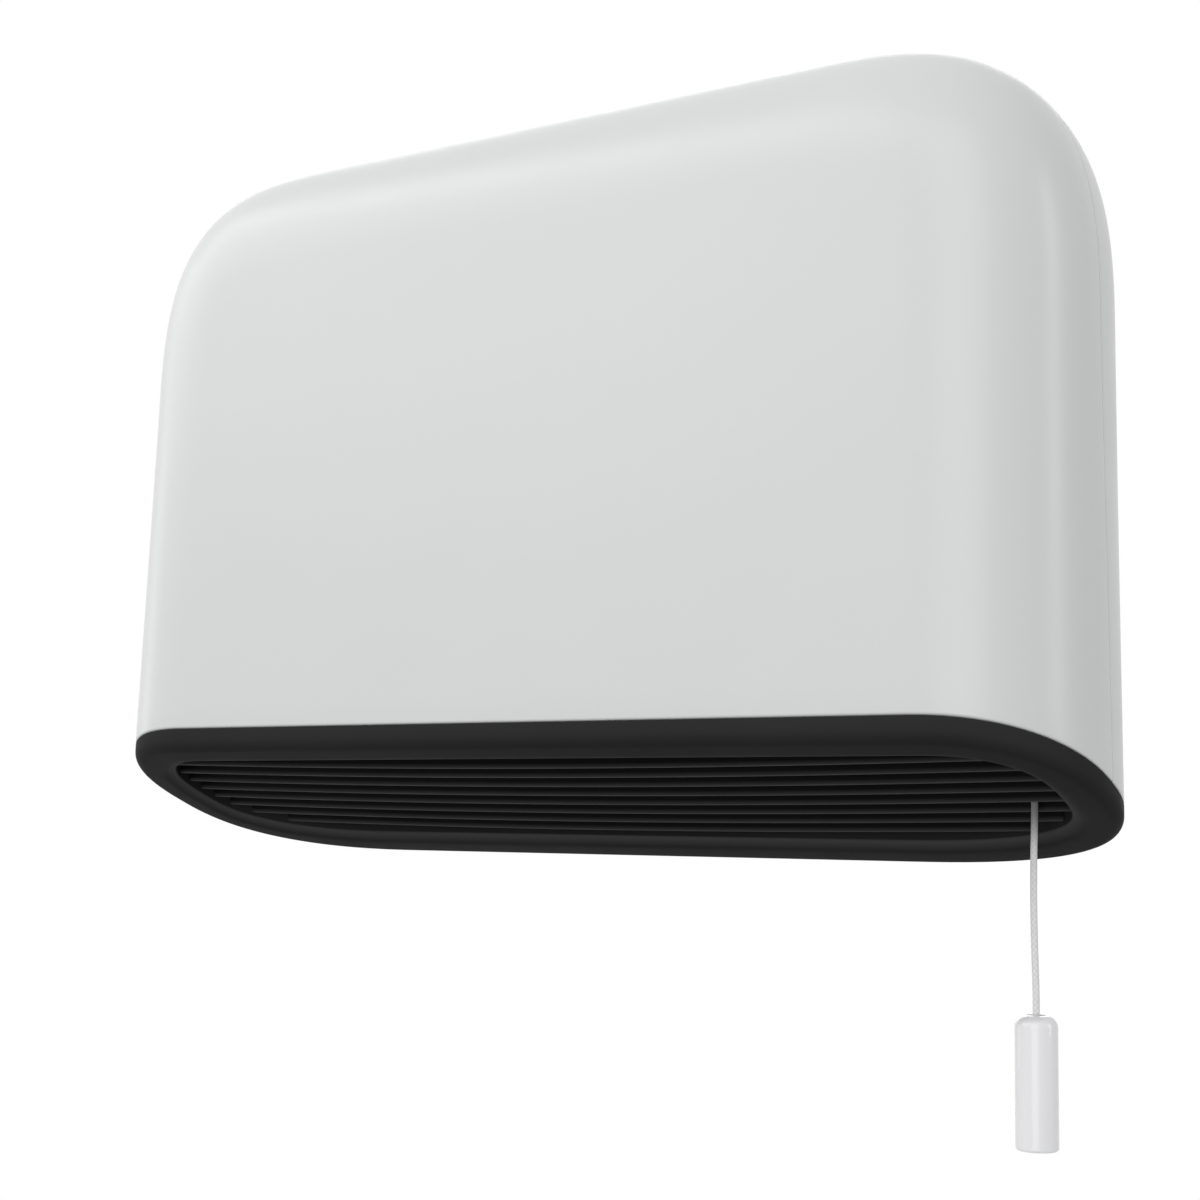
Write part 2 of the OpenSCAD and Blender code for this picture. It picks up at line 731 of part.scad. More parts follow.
// End plate of the duct, seen from the side
module end_profile() difference() {
    front = -fan_y - fan_r - 4;
    polygon([
        [front, fan_z - 12], [front, fan_z + 16], [front + 10, fan_z + fan_r + 9],
        [18 - fan_y, fan_z + fan_r + 11], [-chassis_y - 5, fan_z + 24], [-chassis_y, fan_z + 12],
        [-chassis_y, 14], [duct_back + sheet, duct_end(duct_back)],
        [duct_front - sheet, duct_end(duct_front)], [duct_front - sheet, fan_z - 22]
    ]);
    translate([-fan_y, fan_z]) circle(bush_r);
}

// Bent flange on the chassis, reaching from x0 to x1
module flange(x0, x1) difference() {
    translate([x0, -chassis_y - sheet, flange_z[0]]) cube([x1 - x0, sheet, flange_z[1] - flange_z[0]]);
    holes_y(flange_points, hole_r);
}

module end_plate_left() place() color(steel) {
    difference() {
        along_x(-duct_left, -duct_left + sheet) end_profile();
        motor_holes();
    }
    flange(-duct_left - flange_w, -duct_left);
}

module end_plate_right() place() color(steel) {
    difference() {
        along_x(duct_right - sheet, duct_right) end_profile();
        for (y = [element_rows[0], element_rows[2]])
            translate([duct_right - 5, y - tab_t / 2 - 0.6, tab_z - tab_w / 2 - 0.6])
                cube([10, tab_t + 1.2, tab_w + 1.2]);
    }
    flange(duct_right, duct_right + flange_w);
}

module blower_screws() place() color(steel)
    for (p = flange_points) screw_y(p[0], p[1], chassis_y + sheet, chassis_gap - screw_bite);

// --- Fan wheel ---

vane_line = [for (k = [0 : 4]) let (t = k / 4)
    [fan_r - vane_depth + (vane_depth - 0.3) * t, vane_bow * (t * t - 0.5)]];

module vanes() for (k = [0 : vane_count - 1]) rotate(360 * k / vane_count)
    polygon(concat(vane_line, [for (i = [4 : -1 : 0]) vane_line[i] + [0, vane_t]]));

module fan_wheel() place() color([0.7, 0.71, 0.73]) translate([0, -fan_y, fan_z]) {
    bay = (wheel_right - wheel_left - disc_t) / 3;
    for (k = [0 : 3]) along_x(wheel_left + k * bay, wheel_left + k * bay + disc_t) difference() {
        circle(fan_r);
        circle(k == 0 || k == 3 ? shaft_r : fan_r - vane_depth - 3);
    }
    for (k = [0 : 2])
        along_x(wheel_left + k * bay + disc_t / 2, wheel_left + (k + 1) * bay + disc_t / 2) vanes();
    for (x = [wheel_left + disc_t / 2, wheel_right - hub_l]) along_x(x, x + hub_l - disc_t / 2) difference() {
        circle(hub_r);
        circle(shaft_r);
    }
}

module rod_x(x0, x1, r) translate([x0, -fan_y, fan_z]) rotate([0, 90, 0]) cylinder(r = r, h = x1 - x0);

module stub_shaft() place() color(steel) rod_x(wheel_right - hub_l, duct_right + 9, shaft_r);

module bearing_bush() place() color(black) translate([duct_right, -fan_y, fan_z]) rotate([0, 90, 0])
    rotate_extrude() translate([bearing_r, 0]) {
        translate([0, -sheet - bush_lip_t]) square([bush_r - bearing_r, sheet + 2 * bush_lip_t]);
        for (y = [0, -sheet - bush_lip_t])
            translate([0, y]) square([bush_r - bearing_r + bush_lip, bush_lip_t]);
    }

module end_bearing() place() color(brass) difference() {
    rod_x(duct_right - sheet - bush_lip_t, duct_right + 4, bearing_r);
    rod_x(duct_right - 10, duct_right + 10, shaft_r + run_gap);
}

// --- Motor ---

module motor_shaft() place() color(steel)
    rod_x(stack_left - strap_t - strap_rise - shaft_tail, wheel_left + hub_l, shaft_r);

module motor_rotor() place() color([0.35, 0.36, 0.38]) difference() {
    rod_x(stack_left, stack_right, rotor_r);
    rod_x(stack_left - 1, stack_right + 1, shaft_r);
}

// Holes along X for the motor's two long screws
module motor_holes() for (s = [-1, 1]) translate([-duct_left, -fan_y + s * motor_hole, fan_z])
    rotate([0, 90, 0]) cylinder(r = hole_r, h = 2 * motor_room, center = true);

module stator_core() place() color([0.3, 0.31, 0.33]) difference() {
    along_x(stack_left, stack_right) difference() {
        translate([-fan_y - stack_w / 2, core_low]) square([stack_w, core_top - core_low]);
        translate([-fan_y - window_w / 2, core_low + core_bar]) square([window_w, window_h]);
    }
    rod_x(stack_left - 1, stack_right + 1, rotor_r + air_gap);
    motor_holes();
}

// Bobbin and coil sit on the core's lower bar
coil_c = [(stack_left + stack_right) / 2, core_low + core_bar / 2];
tube_x = stack_l / 2 + 0.2;
tube_z = core_bar / 2 + 0.2;
coil_t = 6;

module along_y(y0, y1) translate([coil_c[0], y1, coil_c[1]])
    rotate([90, 0, 0]) linear_extrude(y1 - y0) children();

module coil_bobbin() place() color(nylon) {
    y0 = -fan_y - window_w / 2 + 0.2;
    y1 = -fan_y + window_w / 2 - 0.2;
    for (y = [[y0, y0 + 1.2, coil_t], [y0 + 1.2, y1 - 1.2, 0], [y1 - 1.2, y1, coil_t]]) along_y(y[0], y[1])
        difference() {
            square(2 * [tube_x + 1 + y[2], tube_z + 1 + y[2]], center = true);
            square(2 * [tube_x, tube_z], center = true);
        }
}

module motor_coil() place() color(copper)
    along_y(-fan_y - window_w / 2 + 1.5, -fan_y + window_w / 2 - 1.5) difference() {
        rounded(2 * (tube_x + coil_t), 2 * (tube_z + coil_t), 4);
        square(2 * [tube_x + 1, tube_z + 1], center = true);
    }

// Bridge that holds a bearing over the rotor, on the stack's face at x; dir points away from it
module strap(x, dir) difference() {
    translate([0, -fan_y, fan_z - strap_w / 2]) linear_extrude(strap_w) {
        near = dir > 0 ? x : x - strap_t;
        low = dir > 0 ? x : x - strap_rise - strap_t;
        for (s = [-1, 1]) {
            translate([near, s > 0 ? strap_leg - strap_t : -strap_foot])
                square([strap_t, strap_foot - strap_leg + strap_t]);
            translate([low, s > 0 ? strap_leg - strap_t : -strap_leg])
                square([strap_rise + strap_t, strap_t]);
        }
        translate([near + dir * strap_rise, -strap_leg]) square([strap_t, 2 * strap_leg]);
    }
    motor_holes();
    rod_x(x - 2 * strap_rise, x + 2 * strap_rise, motor_bearing_r);
}

module motor_strap_inner() place() color(steel) strap(stack_right, 1);
module motor_strap_outer() place() color(steel) strap(stack_left, -1);

module motor_bearings() place() color(brass)
    for (x = [stack_right + strap_rise - 1.5, stack_left - strap_rise - strap_t - 3]) difference() {
        rod_x(x, x + motor_bearing_l, motor_bearing_r);
        rod_x(x - 1, x + motor_bearing_l + 1, shaft_r + run_gap);
    }

module motor_posts() place() color(steel) difference() {
    for (s = [-1, 1]) translate([0, s * motor_hole, 0]) rod_x(stack_right + strap_t, -duct_left, post_r);
    motor_holes();
}

module motor_screws() place() color(steel) for (s = [-1, 1]) translate([0, s * motor_hole, 0]) {
    rod_x(stack_left - strap_t, sheet + nut_h - duct_left, screw_r);
    rod_x(stack_left - strap_t - head_h, stack_left - strap_t, head_r);
    rod_x(sheet - duct_left, sheet + nut_h - duct_left, head_r);
}

// --- Heating element ---

tab_z = (element_z[0] + element_z[1]) / 2;

module element_frame() place() color(mica) {
    x0 = -duct_left + sheet;
    x1 = duct_right - sheet;
    y0 = duct_front + 2;
    y1 = duct_back - 2;
    h = element_z[1] - element_z[0];
    for (y = [y0, y1 - element_t]) translate([x0, y, element_z[0]]) cube([x1 - x0, element_t, h]);
    difference() {
        for (k = [0 : 6])
            translate([mix(x0 + 8, x1 - 9, k / 6), y0, element_z[0]]) cube([element_t, y1 - y0, h]);
        for (y = element_rows) translate([x0, y - ribbon_a - 0.8, tab_z - ribbon_h / 2 - ribbon_play])
            cube([x1 - x0, 2 * ribbon_a + 1.6, ribbon_h + 2 * ribbon_play]);
    }
}

// Zigzag ribbons, each from the right end
module heating_ribbons() place() color([0.45, 0.42, 0.4]) {
    n = floor((duct_right + duct_left - 2 * sheet - 4) / ribbon_pitch);
    x0 = duct_right - sheet - 2 - n * ribbon_pitch;
    line = [for (k = [0 : n]) [x0 + k * ribbon_pitch, k == 0 || k == n ? 0 : (k % 2 * 2 - 1) * ribbon_a]];
    for (y = element_rows) translate([0, y, tab_z - ribbon_h / 2]) linear_extrude(ribbon_h)
        polygon(concat([for (p = line) p - [0, ribbon_t]], [for (i = [n : -1 : 0]) line[i] + [0, ribbon_t]]));
}

module element_tabs() place() color(brass) for (y = [element_rows[0], element_rows[2]])
    translate([duct_right - sheet - 2, y - tab_t / 2, tab_z - tab_w / 2]) cube([tab_l, tab_t, tab_w]);

module thermal_cutout() place() color(black)
    translate([cutout_at[0], duct_front - sheet, cutout_at[1]]) rotate([90, 0, 0]) {
        cylinder(r = cutout_r + 1.5, h = 1.2);
        cylinder(r = cutout_r, h = cutout_h);
        for (s = [-1, 1]) translate([s * 4.5 - 2.4, cutout_r - 2, cutout_h / 2]) cube([4.8, 8, tab_t]);
    }

module thermal_fuse() place() color(nylon)
    translate([-14, element_rows[1], element_z[1] + fuse_r]) rotate([0, 90, 0]) {
        cylinder(r = fuse_r, h = fuse_l);
        translate([0, 0, (fuse_l - fuse_lead[1]) / 2]) cylinder(r = fuse_lead[0], h = fuse_lead[1]);
    }

// --- Pull switch ---

module switch_bracket() place() color(steel) difference() {
    h = stand_z[1] - stand_z[0];
    union() {
        translate([stand_x[0], -case_y[0], stand_z[0]]) cube([stand_x[1] - stand_x[0], sheet, h]);
        translate([stand_x[0], -case_y[0], stand_z[0]]) cube([sheet, case_y[0] - chassis_y, h]);
        translate([stand_x[0], -chassis_y - sheet, stand_z[0]]) cube([stand_foot, sheet, h]);
    }
    for (p = stand_points) translate([p[0], -chassis_y - sheet - 1, p[1]])
        rotate([-90, 0, 0]) cylinder(r = hole_r, h = sheet + 2);
}

module switch_case() place() color(nylon) {
    w = case_x[1] - case_x[0];
    d = case_y[1] - case_y[0];
    h = case_z[1] - case_z[0];
    difference() {
        translate([case_x[0], -case_y[1], case_z[0]]) cube([w, d, h]);
        translate([case_x[0] + case_t, -case_y[1] - 1, case_z[0] + case_t])
            cube([w - 2 * case_t, d + 1 - case_t, h - 2 * case_t]);
        translate([cord_x, -cord_y, case_z[0] - 1]) cylinder(r = rod_r + 0.3, h = case_t + 2);
        translate([axis_x, -case_y[0] - case_t - 1, axis_z])
            rotate([-90, 0, 0]) cylinder(r = pin_r, h = case_t + 2);
        for (s = [-1, 1])
            translate([axis_x + s * contact_at - contact_w / 2 - 0.2, -contact_y - contact_t / 2 - 0.15, case_z[1] - 5])
                cube([contact_w + 0.4, contact_t + 0.3, 10]);
    }
    translate([cord_x + slider_w / 2 + slider_play, -cord_y - slider_t / 2, slider_z[0] - pull - 2])
        cube([case_x[1] - case_t - cord_x - slider_w / 2, slider_t, slider_z[1] - slider_z[0] + pull + 2]);
}

module switch_cover() place() color(nylon)
    translate([case_x[0], -case_y[1] - cover_t, case_z[0]])
        cube([case_x[1] - case_x[0], cover_t, case_z[1] - case_z[0]]);

module switch_pin() place() color(steel) translate([axis_x, -case_y[0], axis_z]) rotate([90, 0, 0])
    cylinder(r = pin_r, h = case_y[1] - case_y[0] - 1);

module switch_slider() place() color(black) {
    difference() {
        translate([cord_x - slider_w / 2, -cord_y - slider_t / 2, slider_z[0]])
            cube([slider_w, slider_t, slider_z[1] - slider_z[0]]);
        translate([axis_x + peg_arm * cos(peg_a) - peg_r - 0.4, -cord_y - slider_t, peg_z - peg_r - slider_play])
            cube([peg_arm * (1 - cos(peg_a)) + 2 * peg_r + 0.8, 2 * slider_t, 2 * (peg_r + slider_play)]);
    }
    translate([cord_x, -cord_y, rod_end]) cylinder(r = rod_r, h = slider_z[0] - rod_end);
}

module drive_disc() place() color([0.75, 0.3, 0.22]) {
    translate([axis_x, -disc_y[1], axis_z]) rotate([90, 0, 0]) difference() {
        cylinder(r = disc_r, h = disc_y[0] - disc_y[1]);
        translate([0, 0, -1]) cylinder(r = pin_r + run_gap, h = 10);
    }
    translate([axis_x + peg_arm * cos(peg_a), -disc_y[0], peg_z]) rotate([90, 0, 0])
        cylinder(r = peg_r, h = cord_y + slider_t / 2 - disc_y[0] - 0.4);
}

module contact_cam() place() color(black) translate([axis_x, -cam_y[1], axis_z]) rotate([90, 0, 0])
    linear_extrude(cam_y[0] - cam_y[1]) difference() {
        union() {
            circle(cam_r);
            for (a = [0 : 45 : 135]) rotate(a) square(cam_tooth, center = true);
        }
        circle(pin_r + run_gap);
    }

module switch_contacts() place() color(brass) for (s = [-1, 1])
    translate([axis_x + s * contact_at - contact_w / 2, -contact_y - contact_t / 2, axis_z + cam_tooth[0] / 2 + 1.5])
        cube([contact_w, contact_t, 26]);

// A tube along points p, its rings square to the path
function unit(v) = v / norm(v);
function tube_ring(p, i, r, sides) =
    let (t = unit(p[min(i + 1, len(p) - 1)] - p[max(i - 1, 0)]))
    let (u = unit(cross(abs(t[2]) > 0.9 ? [1, 0, 0] : [0, 0, 1], t)), v = cross(t, u))
    [for (k = [0 : sides - 1]) p[i] + r * (cos(360 * k / sides) * u + sin(360 * k / sides) * v)];

module tube(p, r, sides) {
    n = len(p);
    points = [for (i = [0 : n - 1]) each tube_ring(p, i, r, sides)];
    faces = concat(
        [[for (k = [0 : sides - 1]) k], [for (k = [sides - 1 : -1 : 0]) (n - 1) * sides + k]],
        [for (i = [0 : n - 2], k = [0 : sides - 1])
            let (a = i * sides, b = a + sides, next = (k + 1) % sides)
            each [[a + k, b + k, b + next], [a + k, b + next, a + next]]]
    );
    polyhedron(points, faces, convexity = 8);
}

spring_low = case_z[0] + case_t + spring_wire + 0.1;
spring_high = slider_z[0] - spring_wire - 0.1;
curl = 8;
spring_line = [for (k = [0 : spring_turns * curl]) let (a = 360 * k / curl)
    [cord_x + spring_r * cos(a), -cord_y + spring_r * sin(a), mix(spring_low, spring_high, k / spring_turns / curl)]];
turn_gaps = [for (k = [0 : (spring_turns - 1) * curl]) norm(spring_line[k + curl] - spring_line[k])];
echo(spring_gap = min(turn_gaps) - 2 * spring_wire);

module switch_spring() place() color(steel) tube(spring_line, spring_wire, 6);

// --- Mains wiring pieces ---

module terminal_block() place() color(nylon) difference() {
    translate([block_x[0], -chassis_y - block_h, block_z[0]])
        cube([block_x[1] - block_x[0], block_h, block_z[1] - block_z[0]]);
    for (z = way_z) {
        translate([block_x[0] - 1, -way_y, z]) rotate([0, 90, 0])
            cylinder(r = way_r, h = block_x[1] - block_x[0] + 2);
        for (x = way_x) translate([x, -way_y, z]) rotate([90, 0, 0]) cylinder(r = way_r, h = block_h);
    }
}

module terminal_screws() place() color(brass)
    for (z = way_z, x = way_x) translate([x, -way_y - 1.2, z])
        rotate([90, 0, 0]) cylinder(r = way_r - 0.05, h = 5);

module cable_clamp() place() color(nylon) difference() {
    y = -chassis_y - 2.4;
    translate([entry_x - clamp_w / 2, -chassis_y - clamp_h, clamp_z - clamp_h / 2]) cube([clamp_w, clamp_h, clamp_h]);
    translate([entry_x, y, clamp_z]) cylinder(r = cable_r, h = 2 * clamp_h, center = true);
    translate([entry_x - cable_r, y, clamp_z - clamp_h]) cube([2 * cable_r, 5, 2 * clamp_h]);
    holes_y(clamp_points, hole_r);
}

module fitting_screws() place() color(steel) {
    for (p = stand_points) screw_y(p[0], p[1], chassis_y + sheet, chassis_gap - screw_bite);
    for (p = clamp_points) screw_y(p[0], p[1], chassis_y + clamp_h, chassis_gap - screw_bite);
}

// --- Pull cord ---

module pull_cord() place() color(white) {
    p = concat(cord_route, [[0, 0, cord_end]]);
    tube([for (q = p) [cord_x + q[0], -cord_y + q[1], q[2]]], cord_d / 2, 8);
}

// A bead of radius r and height h, its lower edge rounded by low and its upper one by high
module bead(r, h, low, high) {
    translate([0, low]) square([r, h - low - high]);
    square([r - low, h - high]);
    square([r - high, h]);
    for (e = [[low, low, -1], [high, h - high, 0]]) intersection() {
        translate([r - e[0], e[1]]) circle(e[0]);
        translate([0, e[1] + e[2] * e[0]]) square([r, e[0]]);
    }
}

module cord_handle() place() color([0.9, 0.9, 0.91]) translate([cord_x, -cord_y, handle_top - handle_l])
    rotate_extrude() difference() {
        bead(handle_d / 2, handle_l, handle_foot, handle_edge);
        translate([-1, -1]) square([cord_d / 2 + 1.2, handle_l + 2]);
        translate([-1, -1]) square([knot_r + 1.3, knot_up + knot_h + 1]);
    }

module cord_knot() place() color(white) translate([cord_x, -cord_y, handle_top - handle_l + knot_up])
    rotate_extrude() bead(knot_r, knot_h, knot_edge, knot_edge);

front_cover();
rear_housing();
outlet_bezel();
outlet_grille();
inlet_grille();
wall_bracket();
wall_pads();
chassis();
chassis_screws();
end_plate_left();
end_plate_right();
scroll_back();
scroll_front();
blower_screws();
fan_wheel();
stub_shaft();
bearing_bush();
end_bearing();
motor_shaft();
motor_rotor();
stator_core();
coil_bobbin();
motor_coil();
motor_strap_inner();
motor_strap_outer();
motor_bearings();
motor_posts();
motor_screws();
element_frame();
heating_ribbons();
element_tabs();
thermal_cutout();
thermal_fuse();
switch_bracket();
switch_case();
switch_cover();
switch_pin();
switch_slider();
switch_spring();
drive_disc();
contact_cam();
switch_contacts();
terminal_block();
terminal_screws();
cable_grommet();
cable_clamp();
fitting_screws();
pull_cord();
cord_handle();
cord_knot();
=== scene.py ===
# %% [markdown]
# # A bathroom wall fan heater
# The heater hangs on a wall. It is a moulded white housing in two halves, with a black
# ring and a blade grille round the sloping air outlet below, an air inlet grille on top,
# and a pull cord that works the switch inside. The construction comes ready as solids in
# metres: X runs to the right, Y into the wall and Z up. This lesson adds what the eye
# sees, piece by piece, and leaves each piece where the construction has it.

# %% Load the construction
import bmesh
import bpy
import json
import math
import numpy as np
from mathutils import Matrix, Vector


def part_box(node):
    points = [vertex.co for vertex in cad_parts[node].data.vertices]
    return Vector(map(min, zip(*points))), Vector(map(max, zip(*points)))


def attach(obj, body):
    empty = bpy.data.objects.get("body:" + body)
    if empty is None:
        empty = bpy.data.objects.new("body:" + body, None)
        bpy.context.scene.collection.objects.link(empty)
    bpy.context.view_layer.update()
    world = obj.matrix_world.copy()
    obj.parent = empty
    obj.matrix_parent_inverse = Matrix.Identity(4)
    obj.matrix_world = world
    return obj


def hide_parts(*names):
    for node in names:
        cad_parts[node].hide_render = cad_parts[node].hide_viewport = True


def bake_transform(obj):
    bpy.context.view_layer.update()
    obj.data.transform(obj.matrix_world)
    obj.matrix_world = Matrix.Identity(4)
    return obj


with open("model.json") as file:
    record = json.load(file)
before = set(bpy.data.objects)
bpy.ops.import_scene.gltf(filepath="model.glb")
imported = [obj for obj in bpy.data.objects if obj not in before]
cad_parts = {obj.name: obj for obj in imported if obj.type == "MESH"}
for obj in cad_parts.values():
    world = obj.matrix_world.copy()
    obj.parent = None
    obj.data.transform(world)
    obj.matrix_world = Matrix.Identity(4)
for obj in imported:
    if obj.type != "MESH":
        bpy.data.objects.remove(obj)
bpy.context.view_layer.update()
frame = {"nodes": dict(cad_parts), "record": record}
nodes = frame["nodes"]
scene = bpy.context.scene

# %% [markdown]
# ## The camera
# The picture was taken from the lower right, a little below the outlet, so the camera is
# made first and everything else can be judged through it. Its place and its three turns
# came from matching the housing's outline. A camera looks along its own -Z, so its matrix
# holds the right, up and backward directions as columns.

# %% Camera at the picture's viewing angle
camera_at = Vector((0.3195, -0.5382, -0.1159))
camera_yaw = math.radians(32.334)
camera_pitch = math.radians(6.837)
camera_roll = math.radians(1.045)
lens_mm = 59.88
sensor_mm = 36


def camera_matrix(at, yaw, pitch, roll):
    ahead = Vector((-math.sin(yaw) * math.cos(pitch), math.cos(yaw) * math.cos(pitch), math.sin(pitch)))
    right = Vector((math.cos(yaw), math.sin(yaw), 0))
    up = right.cross(ahead)
    turned_right = math.cos(roll) * right + math.sin(roll) * up
    turned_up = -math.sin(roll) * right + math.cos(roll) * up
    turn = Matrix((turned_right, turned_up, -ahead)).transposed()
    return Matrix.Translation(at) @ turn.to_4x4()


camera = bpy.data.objects.new("camera", bpy.data.cameras.new("camera"))
scene.collection.objects.link(camera)
camera.data.sensor_width = sensor_mm
camera.data.lens = lens_mm
camera.matrix_world = camera_matrix(camera_at, camera_yaw, camera_pitch, camera_roll)
scene.camera = camera
scene.view_settings.view_transform = "Standard"
print("camera", [round(v, 3) for v in camera.matrix_world.translation], "lens", lens_mm, "mm")

# %% [markdown]
# ## Materials
# Every finish here is a Principled shader with a little life in it: the colour drifts by a
# few hundredths, the gloss is not the same everywhere, and a fine grain catches the light.
# Noise on Object coordinates does all three, because each piece sits at the origin and so
# its coordinates are metres on the real thing. What is the same all over, such as the coat
# of the handle, is set straight on the shader's own socket. A short function adds each node
# and its links, because a chain of nodes is easier to read as a chain of calls.

# %% Helpers that build a material
noise_low = 0.3
noise_high = 0.7
patches_per_cloud = 4
patch_detail = 4.0
grain_detail = 3.0
gloss_drift = 0.1


def add(tree, kind, settings=None, *places, **inputs):
    """A new node. An input is a socket to link from or a plain value, given by its place or by its name."""
    made = tree.nodes.new(kind)
    for key, value in (settings or {}).items():
        setattr(made, key, value)
    named = [(made.inputs[label.replace("_", " ")], value) for label, value in inputs.items()]
    for socket, value in [*zip(made.inputs, places), *named]:
        if isinstance(value, bpy.types.NodeSocket):
            tree.links.new(value, socket)
        else:
            socket.default_value = value
    return made


def object_place(tree):
    return add(tree, "ShaderNodeTexCoord").outputs["Object"]


def noise_on_object(tree, per_metre, detail=2.0, stretch=(1, 1, 1)):
    scaled = add(tree, "ShaderNodeMapping", Vector=object_place(tree), Scale=stretch)
    noise = add(tree, "ShaderNodeTexNoise", Vector=scaled.outputs["Vector"], Scale=per_metre, Detail=detail)
    return noise.outputs["Fac"]


def spread(tree, source, low, high, source_low=noise_low, source_high=noise_high):
    """The source's own range, spread over another one. Most of a noise lies within the default range."""
    ranges = {"From_Min": source_low, "From_Max": source_high, "To_Min": low, "To_Max": high}
    return add(tree, "ShaderNodeMapRange", Value=source, **ranges).outputs["Result"]


def mix_colours(tree, share, first, second):
    mixed = add(tree, "ShaderNodeMix", {"data_type": "RGBA"}, Factor=share, A=first, B=second)
    return mixed.outputs["Result"]


def shader_of(made):
    """A material's node tree and its Principled shader."""
    return made.node_tree, made.node_tree.nodes["Principled BSDF"]


def finish(name, colour, roughness, clouds, grain, metallic=0.0, specular=0.5, coat=0.0, stretch=(1, 1, 1)):
    """Clouds are the colour's drift and their number per metre. Grain is how many grains a metre has, their
    height in micrometres and their strength."""
    made = bpy.data.materials.new(name)
    made.use_nodes = True
    tree, shader = shader_of(made)
    for label, value in (("Metallic", metallic), ("Specular IOR Level", specular), ("Coat Weight", coat)):
        shader.inputs[label].default_value = value
    drift, clouds_per_metre = clouds
    grains_per_metre, grain_um, grain_strength = grain
    darker = [c * (1 - drift) for c in colour] + [1]
    lighter = [min(1, c * (1 + drift)) for c in colour] + [1]
    cloudy = spread(tree, noise_on_object(tree, clouds_per_metre), 0, 1)
    patchy = noise_on_object(tree, clouds_per_metre * patches_per_cloud, patch_detail, stretch)
    gloss = spread(tree, patchy, roughness * (1 - gloss_drift), roughness * (1 + gloss_drift))
    fine = noise_on_object(tree, grains_per_metre, grain_detail, stretch)
    bump = add(tree, "ShaderNodeBump", Height=fine, Strength=grain_strength, Distance=grain_um / 1e6)
    tree.links.new(mix_colours(tree, cloudy, darker, lighter), shader.inputs["Base Color"])
    tree.links.new(gloss, shader.inputs["Roughness"])
    tree.links.new(bump.outputs["Normal"], shader.inputs["Normal"])
    return made


# %% [markdown]
# The white plastic is a satin moulded ABS, the black one is its heat-proof cousin with a
# finer sheen. The brushed metals get their grain along one axis by stretching the noise.
# A dictionary holds every finish under the name of the slot that it fills, so a piece and
# the construction's own nodes can take it from there.

# %% The finishes, by the slot that each one fills
steel = dict(metallic=1.0)
finishes = {}
for slot, colour, roughness, clouds, grain, more in [
    ("white_shell", (0.745, 0.757, 0.757), 0.31, (0.006, 9), (1500, 6, 0.25), {}),
    ("black_satin", (0.0245, 0.0245, 0.0257), 0.42, (0.1, 20), (2600, 10, 0.3), dict(specular=0.004)),
    ("black_grille", (0.0045, 0.0045, 0.0048), 0.5, (0.1, 20), (2600, 10, 0.3), dict(specular=0.04)),
    ("white_handle", (0.94, 0.94, 0.955), 0.32, (0.006, 30), (1700, 6, 0.25), dict(coat=0.6)),
    ("zinc_sheet", (0.52, 0.54, 0.56), 0.4, (0.07, 60), (1200, 6, 0.3), steel),
    ("screw_steel", (0.52, 0.53, 0.55), 0.3, (0.06, 120), (2200, 6, 0.3), steel),
    ("ground_steel", (0.55, 0.56, 0.57), 0.22, (0.04, 120), (1500, 6, 0.4), dict(steel, stretch=(0.1, 1, 1))),
    ("wheel_metal", (0.6, 0.61, 0.62), 0.4, (0.05, 60), (1300, 8, 0.4), dict(steel, stretch=(0.15, 1, 1))),
    ("core_steel", (0.09, 0.095, 0.105), 0.5, (0.1, 60), (2000, 20, 0.6),
     dict(metallic=0.7, stretch=(6, 0.3, 0.3))),
    ("bearing_bronze", (0.42, 0.27, 0.12), 0.45, (0.08, 90), (2600, 10, 0.5), dict(metallic=0.9)),
    ("brass_contacts", (0.6, 0.4, 0.14), 0.3, (0.06, 120), (1800, 8, 0.3), steel),
    ("copper_winding", (0.38, 0.13, 0.05), 0.35, (0.15, 400), (2400, 40, 0.8),
     dict(metallic=0.9, stretch=(1, 0.05, 1))),
    ("resistance_ribbon", (0.16, 0.145, 0.13), 0.45, (0.15, 200), (1800, 10, 0.4), dict(metallic=0.8)),
    ("mica_board", (0.36, 0.28, 0.17), 0.55, (0.25, 300), (1800, 20, 0.5), dict(stretch=(1, 1, 0.4))),
    ("natural_nylon", (0.62, 0.6, 0.5), 0.5, (0.04, 30), (1400, 10, 0.3), {}),
    ("red_nylon", (0.32, 0.025, 0.012), 0.42, (0.06, 60), (1600, 10, 0.3), {}),
    ("black_phenolic", (0.008, 0.007, 0.006), 0.42, (0.12, 60), (1800, 10, 0.3), {}),
    ("soft_rubber", (0.012, 0.012, 0.012), 0.8, (0.1, 40), (1800, 20, 0.5), {}),
    ("fuse_ceramic", (0.7, 0.68, 0.62), 0.45, (0.05, 60), (1500, 10, 0.3), {}),
]:
    finishes[slot] = finish(slot, colour, roughness, clouds, grain, **more)
print("finishes:", len(finishes))

# %% [markdown]
# Three finishes need more. Zinc on sheet steel sets in crystals, so each cell of a Voronoi
# pattern takes a shade and a gloss of its own. The black ring gets a painted highlight along
# its lip and painted light on its upright band, and the blades a painted highlight along
# their noses. That follows the shape and not a place in space, so the pieces carry a mark
# on each point and the material reads it.

# %% Zinc crystals and painted highlights
crystals_per_metre = 170
# The nose colour is a painted highlight along the blades' lower edges.
nose_highlight_start = 0.88
nose_highlight_colour = (0.05, 0.05, 0.052)
# The lip colour is a painted highlight along the ring's lip.
lip_highlight_colour = (0.06, 0.06, 0.062)


def add_crystals(made):
    tree, shader = shader_of(made)
    cells = add(tree, "ShaderNodeTexVoronoi", Vector=object_place(tree), Scale=crystals_per_metre)
    shade = add(tree, "ShaderNodeSeparateColor", Color=cells.outputs["Color"]).outputs["Red"]
    for label, target in (("Base Color", "Factor"), ("Roughness", "Value")):
        mixer = shader.inputs[label].links[0].from_node
        tree.links.new(shade, mixer.inputs[target])


